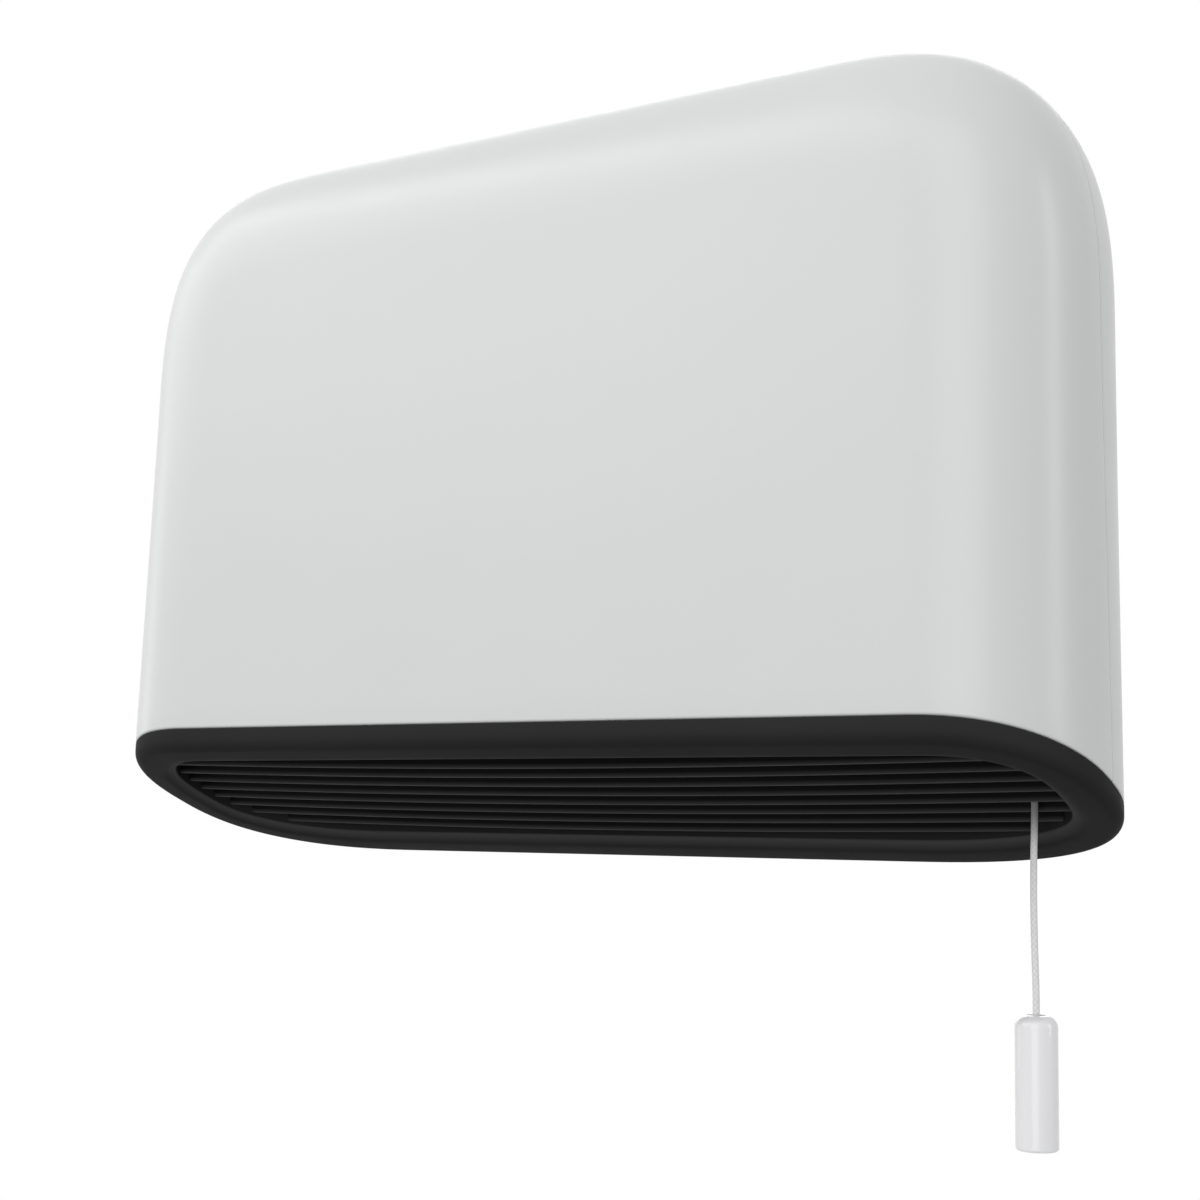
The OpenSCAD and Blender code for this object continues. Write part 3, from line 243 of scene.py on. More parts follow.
def mark_of(tree, name):
    return add(tree, "ShaderNodeAttribute", {"attribute_name": name}).outputs["Fac"]


def lay_over(made, colour, bare):
    """Covers a material's own colour with another where bare is 0, and leaves it as it is where bare is 1."""
    tree, shader = shader_of(made)
    own = shader.inputs["Base Color"].links[0].from_socket
    tree.links.new(mix_colours(tree, bare, (*colour, 1), own), shader.inputs["Base Color"])


def add_painted_highlight(made, mark, start, colour):
    """A painted highlight: a paler colour that grows as the mark goes from start to 1."""
    tree = made.node_tree
    lay_over(made, colour, spread(tree, mark_of(tree, mark), 1, 0, start, 1))


add_crystals(finishes["zinc_sheet"])
# Painted highlight along the blades' noses.
add_painted_highlight(finishes["black_grille"], "down", nose_highlight_start, nose_highlight_colour)
# Painted highlight along the ring's lip, and painted light on its upright band.
add_painted_highlight(finishes["black_satin"], "lip", 0, lip_highlight_colour)
slots = {part["node"]: part["material_slot"] for part in frame["record"]["subparts"]}
for name, made in nodes.items():
    for holder in made.material_slots:
        holder.material = finishes.get(slots[name], holder.material)
print("nodes with a finish:", sum(slot in finishes for slot in slots.values()))

# %% [markdown]
# ## The pull cord
# A cord has its own facts: it leaves the switch straight down, it is 1.8 mm of limp braid,
# and it ends in a knot inside its handle. So its route comes first, as the points that the
# construction uses. A smooth curve through them gives the middle line, and a ring of points
# at each small step gives the skin. The braid is in the geometry: two sets of strands wind
# in opposite directions, and the one on top at each crossing stands a little proud.

# %% Helpers for a mesh piece
merge_gap = 1e-7
tube_smooth = 80


def soften(mesh, smooth_angle, mend=True):
    """Merges doubles and turns the faces outwards, then shades them smooth up to an angle."""
    if mend:
        work = bmesh.new()
        work.from_mesh(mesh)
        bmesh.ops.remove_doubles(work, verts=work.verts, dist=merge_gap)
        bmesh.ops.recalc_face_normals(work, faces=work.faces)
        work.to_mesh(mesh)
        work.free()
    mesh.shade_smooth()
    mesh.set_sharp_from_angle(angle=math.radians(smooth_angle))


def placed(name, mesh):
    made = bpy.data.objects.new(name, mesh)
    scene.collection.objects.link(made)
    return made


def piece_from(name, points, faces, material, smooth_angle=35, mend=True, marks=None):
    """A piece from points and faces. Each of the marks is a name and one number for every point."""
    mesh = bpy.data.meshes.new(name)
    mesh.from_pydata([tuple(map(float, p)) for p in points], [], [tuple(map(int, f)) for f in faces])
    for label, values in (marks or {}).items():
        mesh.attributes.new(label, "FLOAT", "POINT").data.foreach_set("value", np.array(values, np.float32))
    soften(mesh, smooth_angle, mend)
    mesh.materials.append(material)
    return placed(name, mesh)


def unit(rows):
    """Each row scaled to a length of 1."""
    return rows / np.linalg.norm(rows, axis=1)[:, None]


def round_about(sides):
    """Angles once round a circle."""
    return np.linspace(0, 2 * math.pi, sides, endpoint=False)


def skin(rings, sides, closed=False):
    """Faces over a row of rings of points. The row is capped at its two ends or closed to a loop."""
    grid = np.arange(rings * sides).reshape(rings, sides)
    after = np.roll(grid, -1, axis=0) if closed else grid[1:]
    faces = []
    for here, there in zip(grid, after):
        faces += zip(here, np.roll(here, -1), np.roll(there, -1), there)
    return faces if closed else faces + [tuple(grid[0]), tuple(grid[-1])]


def settle(made, body, slot, *replaced):
    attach(made, body)
    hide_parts(*replaced)
    triangles = sum(len(p.vertices) - 2 for p in made.data.polygons)
    print(made.name, "rides on", body, "with", triangles, "triangles")


# %% The cord's route and its braided skin
handle_low, handle_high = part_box("cord_handle")
cord_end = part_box("pull_cord")[0].z
cord_r = 0.0009
cord_x = (handle_low.x + handle_high.x) / 2
cord_y = (handle_low.y + handle_high.y) / 2
mount_rise = 0.084  # from the housing's own zero up to the middle of its mounts, the frame's origin
route_mm = [
    (0, 0, 12), (0, 0, 8), (0, 0, 3), (0, 0.05, -3), (0, 0.1, -9), (0, 0.1, -15), (-0.05, 0.1, -21),
    (-0.15, 0.05, -27), (-0.3, 0, -33), (-0.4, 0, -39), (-0.45, 0, -45), (-0.4, 0, -51),
    (-0.3, 0, -57), (-0.15, 0, -63), (0, 0, -69), (0, 0, -73), (0, 0, -78), (0, 0, -90)
]
route = np.array([(cord_x + x / 1000, cord_y + y / 1000, z / 1000 - mount_rise) for x, y, z in route_mm]
                 + [(cord_x, cord_y, cord_end)])
strands = 8
lay_length = 0.0062
strand_rise = 0.07
strand_power = 0.6
braid_sides = 48
braid_step = 0.00022


def smooth_path(points, step):
    """Points a step apart on a smooth curve through the given ones (a Catmull-Rom curve)."""
    ends = np.vstack([2 * points[0] - points[1], points, 2 * points[-1] - points[-2]])
    fine = []
    for a, b, c, d in zip(ends, ends[1:], ends[2:], ends[3:]):
        for t in np.arange(0, 1, step / np.linalg.norm(c - b)):
            fine.append(0.5 * (2 * b + (c - a) * t + (2 * a - 5 * b + 4 * c - d) * t**2
                               + (3 * b - a - 3 * c + d) * t**3))
    return np.array(fine + [points[-1]])


def braid_height(turn, along):
    """0 in the grooves and 1 on top of a strand, for two crossing sets of strands."""
    wind = 2 * math.pi * along / lay_length * strands / 2
    right = np.cos(strands / 2 * turn + wind)
    left = np.cos(strands / 2 * turn - wind)
    over = np.sin(strands / 2 * turn) * np.cos(wind)
    return np.where(over > 0, np.abs(right), np.abs(left)) ** strand_power


middle = smooth_path(route, braid_step)
along = np.concatenate([[0], np.cumsum(np.linalg.norm(np.diff(middle, axis=0), axis=1))])
turns = round_about(braid_sides)
cord_points = []
cord_heights = []
for here, far in zip(middle, along):
    height = braid_height(turns, far)
    radius = cord_r * (1 - strand_rise + strand_rise * height)
    cord_points += list(here + np.column_stack([radius * np.cos(turns), radius * np.sin(turns), 0 * turns]))
    cord_heights += list(height)

# %% [markdown]
# The fibres of the braid need a matt white with a soft sheen, and painted shade in the grooves. The
# height of each point of the braid is a mark on the mesh, and the material reads it, so the
# shade follows the strands however the cord hangs. Near the outlet the cord is painted
# darker, a painted shadow of the outlet, which fades out over 14 mm of its height.

# %% The cord's material and the finished cord
# The groove grey is painted shade in the braid's grooves.
groove_shade_grey = (0.6, 0.61, 0.6)
# The next grey and its two heights are a painted shadow on the cord near the outlet.
outlet_shade_grey = (0.22, 0.22, 0.217)
full_shade_end = -0.105
shade_fade_end = -0.119
fibre_sheen = 0.25


def braid_material():
    made = finish("white_braid", (0.98, 0.98, 0.972), 0.7, (0.03, 300), (5200, 40, 0.6))
    tree, shader = shader_of(made)
    shader.inputs["Sheen Weight"].default_value = fibre_sheen
    # Painted shade in the grooves of the braid.
    lay_over(made, groove_shade_grey, mark_of(tree, "strand_height"))
    # Painted shadow near the outlet, fading out downwards over 14 mm of height.
    height = add(tree, "ShaderNodeSeparateXYZ", None, object_place(tree)).outputs["Z"]
    unshaded = add(tree, "ShaderNodeMapRange", {"interpolation_type": "SMOOTHSTEP"}, Value=height,
                From_Min=full_shade_end, From_Max=shade_fade_end)
    lay_over(made, outlet_shade_grey, unshaded.outputs["Result"])
    return made


finishes["white_braid"] = braid_material()
cord = piece_from("pull_cord_braid", cord_points, skin(len(middle), braid_sides), finishes["white_braid"],
                  tube_smooth, marks={"strand_height": cord_heights})
settle(cord, "pull", "white_braid", "pull_cord")

# %% [markdown]
# ## The handle and its knot
# The handle is a turned shape, so its outline is drawn once, from the hole to the skin, and
# spun round the cord. A Screw modifier could spin it too, but plain points show how a grid
# of quads closes on itself. The handle hides the knot, which sits in a pocket at the
# bottom. The knot is a trefoil, the closed form of an overhand knot, made as a tube nearly
# as thick as the cord along a formula.

# %% Handle spun from its outline
handle_r = (handle_high.x - handle_low.x) / 2
handle_l = handle_high.z - handle_low.z
handle_edge = 0.0032
handle_foot = 0.0008
hole_r = 0.0021
hole_edge = 0.0005
pocket_r = 0.0037
pocket_h = 0.0050


def arc(centre, radius, start, end, steps):
    """Points on a circle, from one angle to another in degrees."""
    swing = np.radians(np.linspace(start, end, steps + 1))
    return [(centre[0] + radius * c, centre[1] + radius * s) for c, s in zip(np.cos(swing), np.sin(swing))]


def spun(name, outline, at, material, sides=96):
    """A closed outline of (radius, height) points spun round a vertical axis."""
    points = [(at[0] + r * math.cos(t), at[1] + r * math.sin(t), at[2] + h)
              for t in round_about(sides) for r, h in outline]
    return piece_from(name, points, skin(sides, len(outline), closed=True), material)


handle_outline = (
    arc((handle_r - handle_foot, handle_foot), handle_foot, -90, 0, 6)
    + arc((handle_r - handle_edge, handle_l - handle_edge), handle_edge, 0, 90, 14)
    + arc((hole_r + hole_edge, handle_l - hole_edge), hole_edge, 90, 180, 5)
    + [(hole_r, pocket_h), (pocket_r, pocket_h), (pocket_r, 0)]
)
handle = spun("handle_turned", handle_outline, (cord_x, cord_y, handle_low.z), finishes["white_handle"])
settle(handle, "pull", "white_handle", "cord_handle")


# %% A tube along a line
def tube(line, radius, sides, closed=False):
    """Points and faces of a round tube along a line that nowhere runs straight up."""
    ahead = np.roll(line, -1, axis=0) - np.roll(line, 1, axis=0) if closed else np.gradient(line, axis=0)
    ahead = unit(ahead)
    side = unit(np.cross(ahead, (0, 0, 1)))
    up = np.cross(side, ahead)
    swing = round_about(sides)[None, :, None]
    points = line[:, None] + radius * (np.cos(swing) * side[:, None] + np.sin(swing) * up[:, None])
    return points.reshape(-1, 3), skin(len(line), sides, closed)


# %% Knot in the handle's pocket
knot_low, knot_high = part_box("cord_knot")
knot_core = 0.00092
knot_swell = 0.00042
knot_lift = 0.0010
knot_strand_r = 0.00082
knot_steps = 180
knot_sides = 14
knot_turn = round_about(knot_steps)
knot_out = knot_core + knot_swell * np.cos(3 * knot_turn)
knot_line = np.column_stack([
    cord_x + knot_out * np.cos(2 * knot_turn), cord_y + knot_out * np.sin(2 * knot_turn),
    (knot_low.z + knot_high.z) / 2 + knot_lift * np.sin(3 * knot_turn)])
knot_mesh = tube(knot_line, knot_strand_r, knot_sides, closed=True)
knot = piece_from("knot_tied", *knot_mesh, finishes["white_handle"], tube_smooth)
settle(knot, "pull", "white_braid", "cord_knot")

# %% [markdown]
# ## The return spring
# A small coil spring in the switch pushes the slider back up after a pull. Its lower end
# stands on the switch's case and its upper end follows the slider, so its coils close up as
# the cord is pulled and it can't ride on one body. It is built where the construction has
# it and stays on none. The tube that made the knot makes the wire, along a helix.

# %% Spring wound between case and slider
spring_low, spring_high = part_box("switch_spring")
spring_wire = 0.0004
spring_turns = 6
steps_per_turn = 48
spring_sides = 12
spring_r = (spring_high.x - spring_low.x) / 2 - spring_wire
spring_at = ((spring_low.x + spring_high.x) / 2, (spring_low.y + spring_high.y) / 2)
spring_foot = spring_low.z + spring_wire
spring_head = spring_high.z - spring_wire
coil = np.linspace(0, spring_turns * 2 * math.pi, spring_turns * steps_per_turn + 1)
spring_line = np.column_stack([
    spring_at[0] + spring_r * np.cos(coil), spring_at[1] + spring_r * np.sin(coil),
    np.linspace(spring_foot, spring_head, len(coil))])
spring_mesh = tube(spring_line, spring_wire, spring_sides)
spring = piece_from("spring_wound", *spring_mesh, finishes["screw_steel"], tube_smooth)
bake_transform(spring)
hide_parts("switch_spring")
print("spring", round(spring_head - spring_foot, 4), "m long with", spring_turns, "turns")

# %% [markdown]
# ## The housing's form
# The two white halves share one rule. Seen from the front, the housing is a broad arch: its
# sides lean in a little, and its upper corners are superellipses, squarer than a circle.
# Seen from the side, each half curves away from the seam by another superellipse, to a flat
# front and a flat back. So a point of the skin follows from three values: how far it is
# round the edge, how far it is round the arch, and how deep it lies below the outer skin.
# A cage with a Subdivision Surface would be quicker to draw, but a formula keeps both
# halves true to each other and lets one mesh be as fine as it likes.

# %% Sizes of the housing, in metres
body_w = 0.320
body_h = 0.184
body_d = 0.083
seam_d = 0.0425
wall = 0.0024
wall_gap = 0.0018
outlet_slope = math.tan(math.radians(20.7))
side_taper = 0.015
front_lean = 0.028
corner_x = 0.075
corner_z = 0.081
corner_n = 2.95
front_in = 0.0403
front_n = 2.33
rear_in = 0.072
rear_in_top = 0.040
rear_n = 2.5
tongue = 0.003
fit_gap = 0.00015
seam_reveal = 0.0004
front_d = body_d - seam_d
outlet_drop = outlet_slope * body_d
corner_foot = body_h - corner_z


def rounding(c, n):
    return np.maximum(c, 0) ** (2 / n)


def form_of(rear):
    """Depth, exponent and direction of one half, seen from the seam."""
    return (seam_d, rear_n, 1) if rear else (front_d, front_n, -1)


def half_width(z):
    return body_w / 2 - side_taper * z


def reach(z, rear):
    """How far the edge rounds in, at a height."""
    if not rear:
        return np.full_like(z, front_in)
    share = np.clip((z + outlet_drop) / (corner_foot + outlet_drop), 0, 1)
    return rear_in + (rear_in_top - rear_in) * share


def lower_edge(out, rear):
    """Depth, lean and height of a half's lower edge, at a distance from the seam."""
    y = -seam_d + form_of(rear)[2] * out
    lean = 0 * out if rear else front_lean * out / front_d
    return y, lean, -outlet_slope * (y + body_d) / (1 + outlet_slope * lean)


print("housing", body_w, "m wide,", body_d, "m deep and", body_h, "m high")

# %% One arch of the skin
foot_r = 0.0007
foot_steps = 5
foot_swing = np.radians(np.linspace(90, 0, foot_steps + 1))
side_steps = 16
corner_steps = 60
corner_swing = np.radians(np.linspace(0, 90, corner_steps + 1)[1:])


def half_arch(swing, rear, inset, depth=None):
    """From the lower right to the middle of the top. swing is 0 at the flat and 90 degrees at the seam."""
    rises = foot_r * (1 - np.sin(foot_swing))
    foot_in = foot_r * (1 - np.cos(foot_swing)) if inset == 0 else 0 * foot_swing
    insets = inset + np.concatenate([foot_in, np.zeros(side_steps + corner_steps)])
    size, n, _ = form_of(rear)
    if depth is None:
        out = (size - insets) * rounding(math.cos(swing), n)
        share = 1 - rounding(math.sin(swing), n)
    else:
        out = np.full_like(insets, abs(depth + seam_d))
        share = 0
    y, lean, edge = lower_edge(out, rear)
    foot = len(foot_swing)
    climb = np.linspace(0, 1, side_steps + 1)[1:]
    start = edge[foot] + foot_r
    z_side = np.concatenate([edge[:foot] + rises, start + (corner_foot - start) * climb])
    power = 2 - 2 / corner_n
    normal = unit(np.column_stack([np.cos(corner_swing) ** power / corner_x,
                                   np.sin(corner_swing) ** power / corner_z]))
    corner_out = half_width(corner_foot) - corner_x + corner_x * rounding(np.cos(corner_swing), corner_n)
    px = np.concatenate([half_width(z_side), corner_out])
    pz = np.concatenate([z_side, corner_foot + corner_z * rounding(np.sin(corner_swing), corner_n)])
    qx = np.concatenate([np.ones(len(z_side)), normal[:, 0]])
    qz = np.concatenate([np.zeros(len(z_side)), normal[:, 1]])
    inward = insets + share * (reach(pz, rear) - insets)
    x = px - qx * inward
    z = pz - qz * inward
    return np.column_stack([x, y + lean * z - wall_gap, z - mount_rise])


def arch(*place, **extra):
    right = half_arch(*place, **extra)
    return np.vstack([right, right[::-1] * (-1, 1, 1)])


print("columns on an arch:", len(arch(0.5, False, 0)))

# %% [markdown]
# A half of the housing is one skin folded back on itself: rows of arches run from the flat,
# out to the seam, over the rim and back inside. The feet close the lower edges, and large
# flat faces close the front or the back. The edges that a hand would feel are softened:
# 0.7 mm along the lower edge and 0.35 mm at the seam, as a mould leaves them.

# %% Skin of one half
edge_steps = 64
seam_r = 0.00035
seam_steps = 5
seam_swing = np.radians(np.linspace(0, 90, seam_steps + 1))
shell_smooth = 28


def shell_piece(name, rear, material):
    swings = np.radians(np.linspace(0, 90, edge_steps + 1)[:-1])
    way = form_of(rear)[2]
    seam = -seam_d + (seam_reveal if rear else 0)
    outer = [arch(s, rear, 0) for s in swings]
    rim = [arch(0, rear, seam_r * (1 - math.cos(s)), depth=seam + way * seam_r * (1 - math.sin(s)))
           for s in seam_swing]
    step_in = wall / 2 + (fit_gap if rear else 0)
    far = -seam_d - tongue - (0 if rear else fit_gap)
    tongue_at = ((step_in, seam), (step_in, far), (wall, far))
    rim += [arch(0, rear, inset, depth=depth) for inset, depth in tongue_at]
    inner = [arch(s, rear, wall) for s in swings[::-1]]
    rows = outer + rim + inner
    count = len(rows[0])
    grid = np.arange(len(rows) * count).reshape(len(rows), count)
    faces = [(a[k], a[k + 1], b[k + 1], b[k]) for a, b in zip(grid, grid[1:]) for k in range(count - 1)]
    last = len(rows) - 1
    for side in (0, count - 1):
        faces += [(grid[i][side], grid[i + 1][side], grid[last - i - 1][side], grid[last - i][side])
                  for i in range(len(swings) - 1)]
        faces.append(tuple(grid[i][side] for i in range(len(swings) - 1, len(swings) + len(rim) + 1)))
    foot = len(foot_swing)
    for row in (grid[0], grid[-1]):
        faces += [(row[k], row[k + 1], row[-2 - k], row[-1 - k]) for k in range(foot)]
        faces.append(tuple(row[foot:count - foot]))
    faces.append((grid[0][0], grid[0][-1], grid[-1][-1], grid[-1][0]))
    return piece_from(name, np.vstack(rows), faces, material, shell_smooth)


cover = shell_piece("cover_moulded", False, finishes["white_shell"])
settle(cover, "housing", "white_shell", "front_cover")

# %% [markdown]
# The rear half also has openings: the air inlet on top, two slots for the bracket's hooks
# and the hole for the supply cable's grommet, and inside it has four bosses for the plate
# that carries the works. They could be part of the skin's grid, but then every row would
# have to know them. Booleans cut and add them from simple solids instead.

# %% Helpers that cut and add simple solids
block_faces = [(0, 1, 3, 2), (4, 6, 7, 5), (0, 4, 5, 1), (2, 3, 7, 6), (0, 2, 6, 4), (1, 5, 7, 3)]


def block(low, high):
    """Points and faces of a plain cutter between two corners."""
    points = [(x, y, z) for x in (low[0], high[0]) for y in (low[1], high[1]) for z in (low[2], high[2])]
    return points, block_faces


def rod(at, radius, y0, y1, sides=64):
    """Points and faces of a round cutter along Y."""
    points = [(at[0] + radius * math.cos(t), y, at[1] + radius * math.sin(t))
              for y in (y0, y1) for t in round_about(sides)]
    return points, skin(2, sides)


def result_mesh(made, modifier):
    """What a piece becomes under a modifier, as a plain mesh. The modifier is removed."""
    bpy.context.view_layer.update()
    mesh = bpy.data.meshes.new_from_object(made.evaluated_get(bpy.context.evaluated_depsgraph_get()))
    made.modifiers.remove(modifier)
    return mesh


def carve(made, shapes, operation):
    for points, faces in shapes:
        tool = piece_from("tool", points, faces, made.data.materials[0])
        change = made.modifiers.new("change", "BOOLEAN")
        change.object = tool
        change.operation = operation
        change.solver = "EXACT"
        made.data = result_mesh(made, change)
        bpy.data.objects.remove(tool)
    made.data.set_sharp_from_angle(angle=math.radians(shell_smooth))


# %% Openings and bosses of the rear half
plate_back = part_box("chassis")[1].y
grommet_low, grommet_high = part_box("cable_grommet")
screws_low, screws_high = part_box("chassis_screws")
screw_head_r = 0.0028
screw_r = 0.0015
boss_r = 0.004
inlet_w = 0.156
inlet_front = 0.038
inlet_back = 0.009
inlet_gap = 0.0003
inlet_cut_low = 0.06
inlet_cut_high = 0.14
grommet_neck = 0.0056
hook_x = 0.060
hook_slot_w = 0.016
hook_slot_low = 0.0212
hook_slot_high = 0.0312
cut_over = 0.001  # how far a cutter runs past the face that it opens
grommet_at = ((grommet_low.x + grommet_high.x) / 2, (grommet_low.z + grommet_high.z) / 2)
boss_at = [(x, z) for x in (screws_low.x + screw_head_r, screws_high.x - screw_head_r)
           for z in (screws_low.z + screw_head_r, screws_high.z - screw_head_r)]
bosses = [rod(at, boss_r, plate_back, -wall_gap - wall / 2) for at in boss_at]
cuts = [rod(at, screw_r, plate_back - cut_over, -wall_gap - cut_over) for at in boss_at]
cuts.append(rod(grommet_at, grommet_neck, -wall_gap - 2 * wall, wall))
cuts.append(block((-inlet_w / 2 - inlet_gap, -inlet_front - inlet_gap - wall_gap, inlet_cut_low),
                  (inlet_w / 2 + inlet_gap, -inlet_back + inlet_gap - wall_gap, inlet_cut_high)))
for side in (-1, 1):
    cuts.append(block((side * hook_x - hook_slot_w / 2, -wall_gap - wall - cut_over, hook_slot_low),
                      (side * hook_x + hook_slot_w / 2, cut_over, hook_slot_high)))
rear = shell_piece("rear_moulded", True, finishes["white_shell"])
carve(rear, bosses, "UNION")
carve(rear, cuts, "DIFFERENCE")
settle(rear, "housing", "white_shell", "rear_housing")

# %% [markdown]
# ## The black ring
# A heat-proof ring closes the housing below and frames the outlet. Its section is drawn
# once: a short upright band under the white edge, a rounded outer corner, and a broad lip
# that rolls up into the opening. The section is then swept round the housing's own plan. A
# bevelled curve would do it too, but it pinches where the plan turns sharply. Here each
# point of the section has its own inset from the skin, so each is a line of the plan moved
# inwards, and nothing pinches.

# %% Plan of the housing at the outlet
plan_steps = 56


def half_plan(inset):
    """Right half of the plan, from the middle of the front to the middle of the back."""
    lines = []
    for rear_side in (False, True):
        swing = np.radians(np.linspace(0, 90, plan_steps + 1))
        swing = swing[::-1][1:] if rear_side else swing
        size, n, way = form_of(rear_side)
        out = size * rounding(np.cos(swing), n)
        share = 1 - rounding(np.sin(swing), n)
        y, _, z = lower_edge(out, rear_side)
        depth_in = reach(z, rear_side)
        power = 2 - 2 / n
        normal = unit(np.column_stack([np.sin(swing) ** power / depth_in,
                                       way * np.maximum(np.cos(swing), 0) ** power / size]))
        lines.append(np.column_stack([half_width(z) - share * depth_in, y]) - inset * normal)
    return np.vstack(lines)


def plan(inset):
    right = half_plan(inset)
    return np.vstack([right, right[::-1] * (-1, 1)])


def outlet_z(y):
    """Height of the white halves' lower edge at a depth y of the plan."""
    return -outlet_slope * (y + body_d)


def swept(name, section, material, smooth_angle=30, lip_highlight_shares=None):
    """A closed section of (inset, depth below the white edge) points, swept round the plan."""
    lines = []
    for inset, below in section:
        line = plan(inset)
        height = outlet_z(line[:, 1]) - below - mount_rise
        lines.append(np.column_stack([line[:, 0], line[:, 1] - wall_gap, height]))
    count = len(lines[0])
    marks = {} if lip_highlight_shares is None else {"lip": np.repeat(lip_highlight_shares, count)}
    faces = skin(len(lines), count, closed=True)
    return piece_from(name, np.vstack(lines), faces, material, smooth_angle, marks=marks)


print("points round the plan:", len(plan(0)))

# %% [markdown]
# The lip is what the light plays on. It leaves the ring's flat underside in a slow bend,
# a Bezier curve, and meets the opening in a tight edge at 57 degrees. Its slope and the
# upright band are marked for the material, which paints a highlight on the slope and
# painted light on the band.

# %% The ring's section
ring_h = 0.0063
ring_w = 0.013
ring_r = 0.0034
ring_wall = 0.002
ring_rise = 0.0024
ring_up = 0.005
ring_top_r = 0.00035
ring_edge = 0.0004
ring_bevel = 0.0005
ring_shelf = 0.0015
tab_t = 0.0014
tab_h = 0.004
tab_in = wall + fit_gap
lip_angle = 57
lip_r = 0.0004
lip_low = 0.0046
lip_foot = 0.0040
lip_land = 0.0001
lip_pull = 0.0014
lip_steps = 14
lip_turn = (math.cos(math.radians(lip_angle)), math.sin(math.radians(lip_angle)))
lip_start = (0.0080, ring_h)
lip_bend = (0.0100, ring_h)
lip_end = (ring_w - lip_r * (1 - lip_turn[0]), lip_low)
lip_lift = (lip_end[0] - lip_pull * lip_turn[1], lip_end[1] + lip_pull * lip_turn[0])


def bezier(corners, steps):
    """Points on a Bezier curve, given its start, its two handles and its end."""
    t = np.linspace(0, 1, steps + 1)[:, None]
    shares = np.hstack([(1 - t) ** 3, 3 * t * (1 - t) ** 2, 3 * t**2 * (1 - t), t**3])
    return [tuple(point) for point in shares @ np.array(corners)]


# In the section, an arc's angle is 180 degrees outwards and 90 down.
ring_section = (
    arc((ring_top_r, fit_gap + ring_top_r), ring_top_r, 270, 180, 4)
    + arc((ring_r, ring_h - ring_r), ring_r, 180, 90, 10)
    + bezier([lip_start, lip_bend, lip_lift, lip_end], lip_steps)
    + arc((ring_w - lip_r, lip_end[1] - lip_r * lip_turn[1]), lip_r, lip_angle, 0, 4)[1:]
    + [(ring_w, lip_foot - lip_land)]
    + arc((ring_w - ring_edge, -ring_up + ring_edge), ring_edge, 0, -90, 3)
    + arc((ring_w - ring_wall + ring_edge, -ring_up + ring_edge), ring_edge, -90, -180, 3)
    + [(ring_w - ring_wall, ring_h - ring_rise - ring_wall), (ring_r + ring_bevel, ring_h - ring_wall),
       (ring_wall, ring_h - ring_r), (ring_wall, fit_gap + ring_shelf),
       (tab_in + tab_t, fit_gap + ring_shelf), (tab_in + tab_t, -tab_h), (tab_in, -tab_h), (tab_in, fit_gap)]
)
print("section of", len(ring_section), "points")

# %% Ring swept from its section
# These shares paint a highlight on the lip's slope and painted light on the upright band.
band_in = 0.0045
band_light_share = 0.24
highlight_start = 0.0100
highlight_over = 0.0028
inset, below = np.array(ring_section).T
band_light_shares = band_light_share * np.clip((ring_h - below) / (ring_h - lip_foot), 0, 1)
slope_highlight_shares = np.where(below > lip_foot, np.clip((inset - highlight_start) / highlight_over, 0, 1), 0)
lip_highlight_shares = np.where(inset < band_in, band_light_shares, slope_highlight_shares)
ring = swept("ring_moulded", ring_section, finishes["black_satin"], lip_highlight_shares=lip_highlight_shares)
settle(ring, "housing", "black_satin", "outlet_bezel")

# %% [markdown]
# ## The blades of the outlet
# Eight blades run across the outlet, each a little lower than the one before it. They
# differ only in place and length, so Geometry Nodes make them: a line is swept with a
# rounded section, placed on one point for each blade, stretched to the blade's own length
# and then bowed upwards at the ends by a formula. The length rides on the points as a mark,
# because only the plan of the housing knows it, and so does the slant of the ends, which
# follow the ring. A mark from top to bottom tells the material where to paint a highlight on the nose.

# %% Helpers for Geometry Nodes
def result(*node, **inputs):
    """The first output of a new node."""
    return add(*node, **inputs).outputs[0]


def node_tree(name, sizes):
    """An empty tree with a Geometry input and the given sizes, each (label, socket kind, value)."""
    tree = bpy.data.node_groups.new(name, "GeometryNodeTree")
    tree.interface.new_socket("Geometry", in_out="INPUT", socket_type="NodeSocketGeometry")
    sockets = {}
    for label, kind, value in sizes:
        socket = tree.interface.new_socket(label, in_out="INPUT", socket_type="NodeSocket" + kind)
        sockets[label] = socket.identifier
    tree.interface.new_socket("Geometry", in_out="OUTPUT", socket_type="NodeSocketGeometry")
    return tree, tree.nodes.new("NodeGroupInput").outputs, sockets


def math_node(tree, operation, first, second):
    return result(tree, "ShaderNodeMath", {"operation": operation}, first, second)


def stored(tree, geometry, name, value):
    return result(tree, "GeometryNodeStoreNamedAttribute", {"data_type": "FLOAT"}, Geometry=geometry,
                  Name=name, Value=value)


def named(tree, name):
    return result(tree, "GeometryNodeInputNamedAttribute", {"data_type": "FLOAT"}, Name=name)


def close_tree(tree, geometry, material):
    real = result(tree, "GeometryNodeRealizeInstances", Geometry=geometry)
    painted = result(tree, "GeometryNodeSetMaterial", Geometry=real, Material=material)
    add(tree, "NodeGroupOutput", None, painted)


def grown(made, tree, sockets, sizes, smooth_angle=35):
    """Runs the tree on a piece and leaves its result as a plain mesh."""
    modifier = made.modifiers.new("grow", "NODES")
    modifier.node_group = tree
    for label, _, value in sizes:
        modifier[sockets[label]] = value
    made.data = result_mesh(made, modifier)
    soften(made.data, smooth_angle)


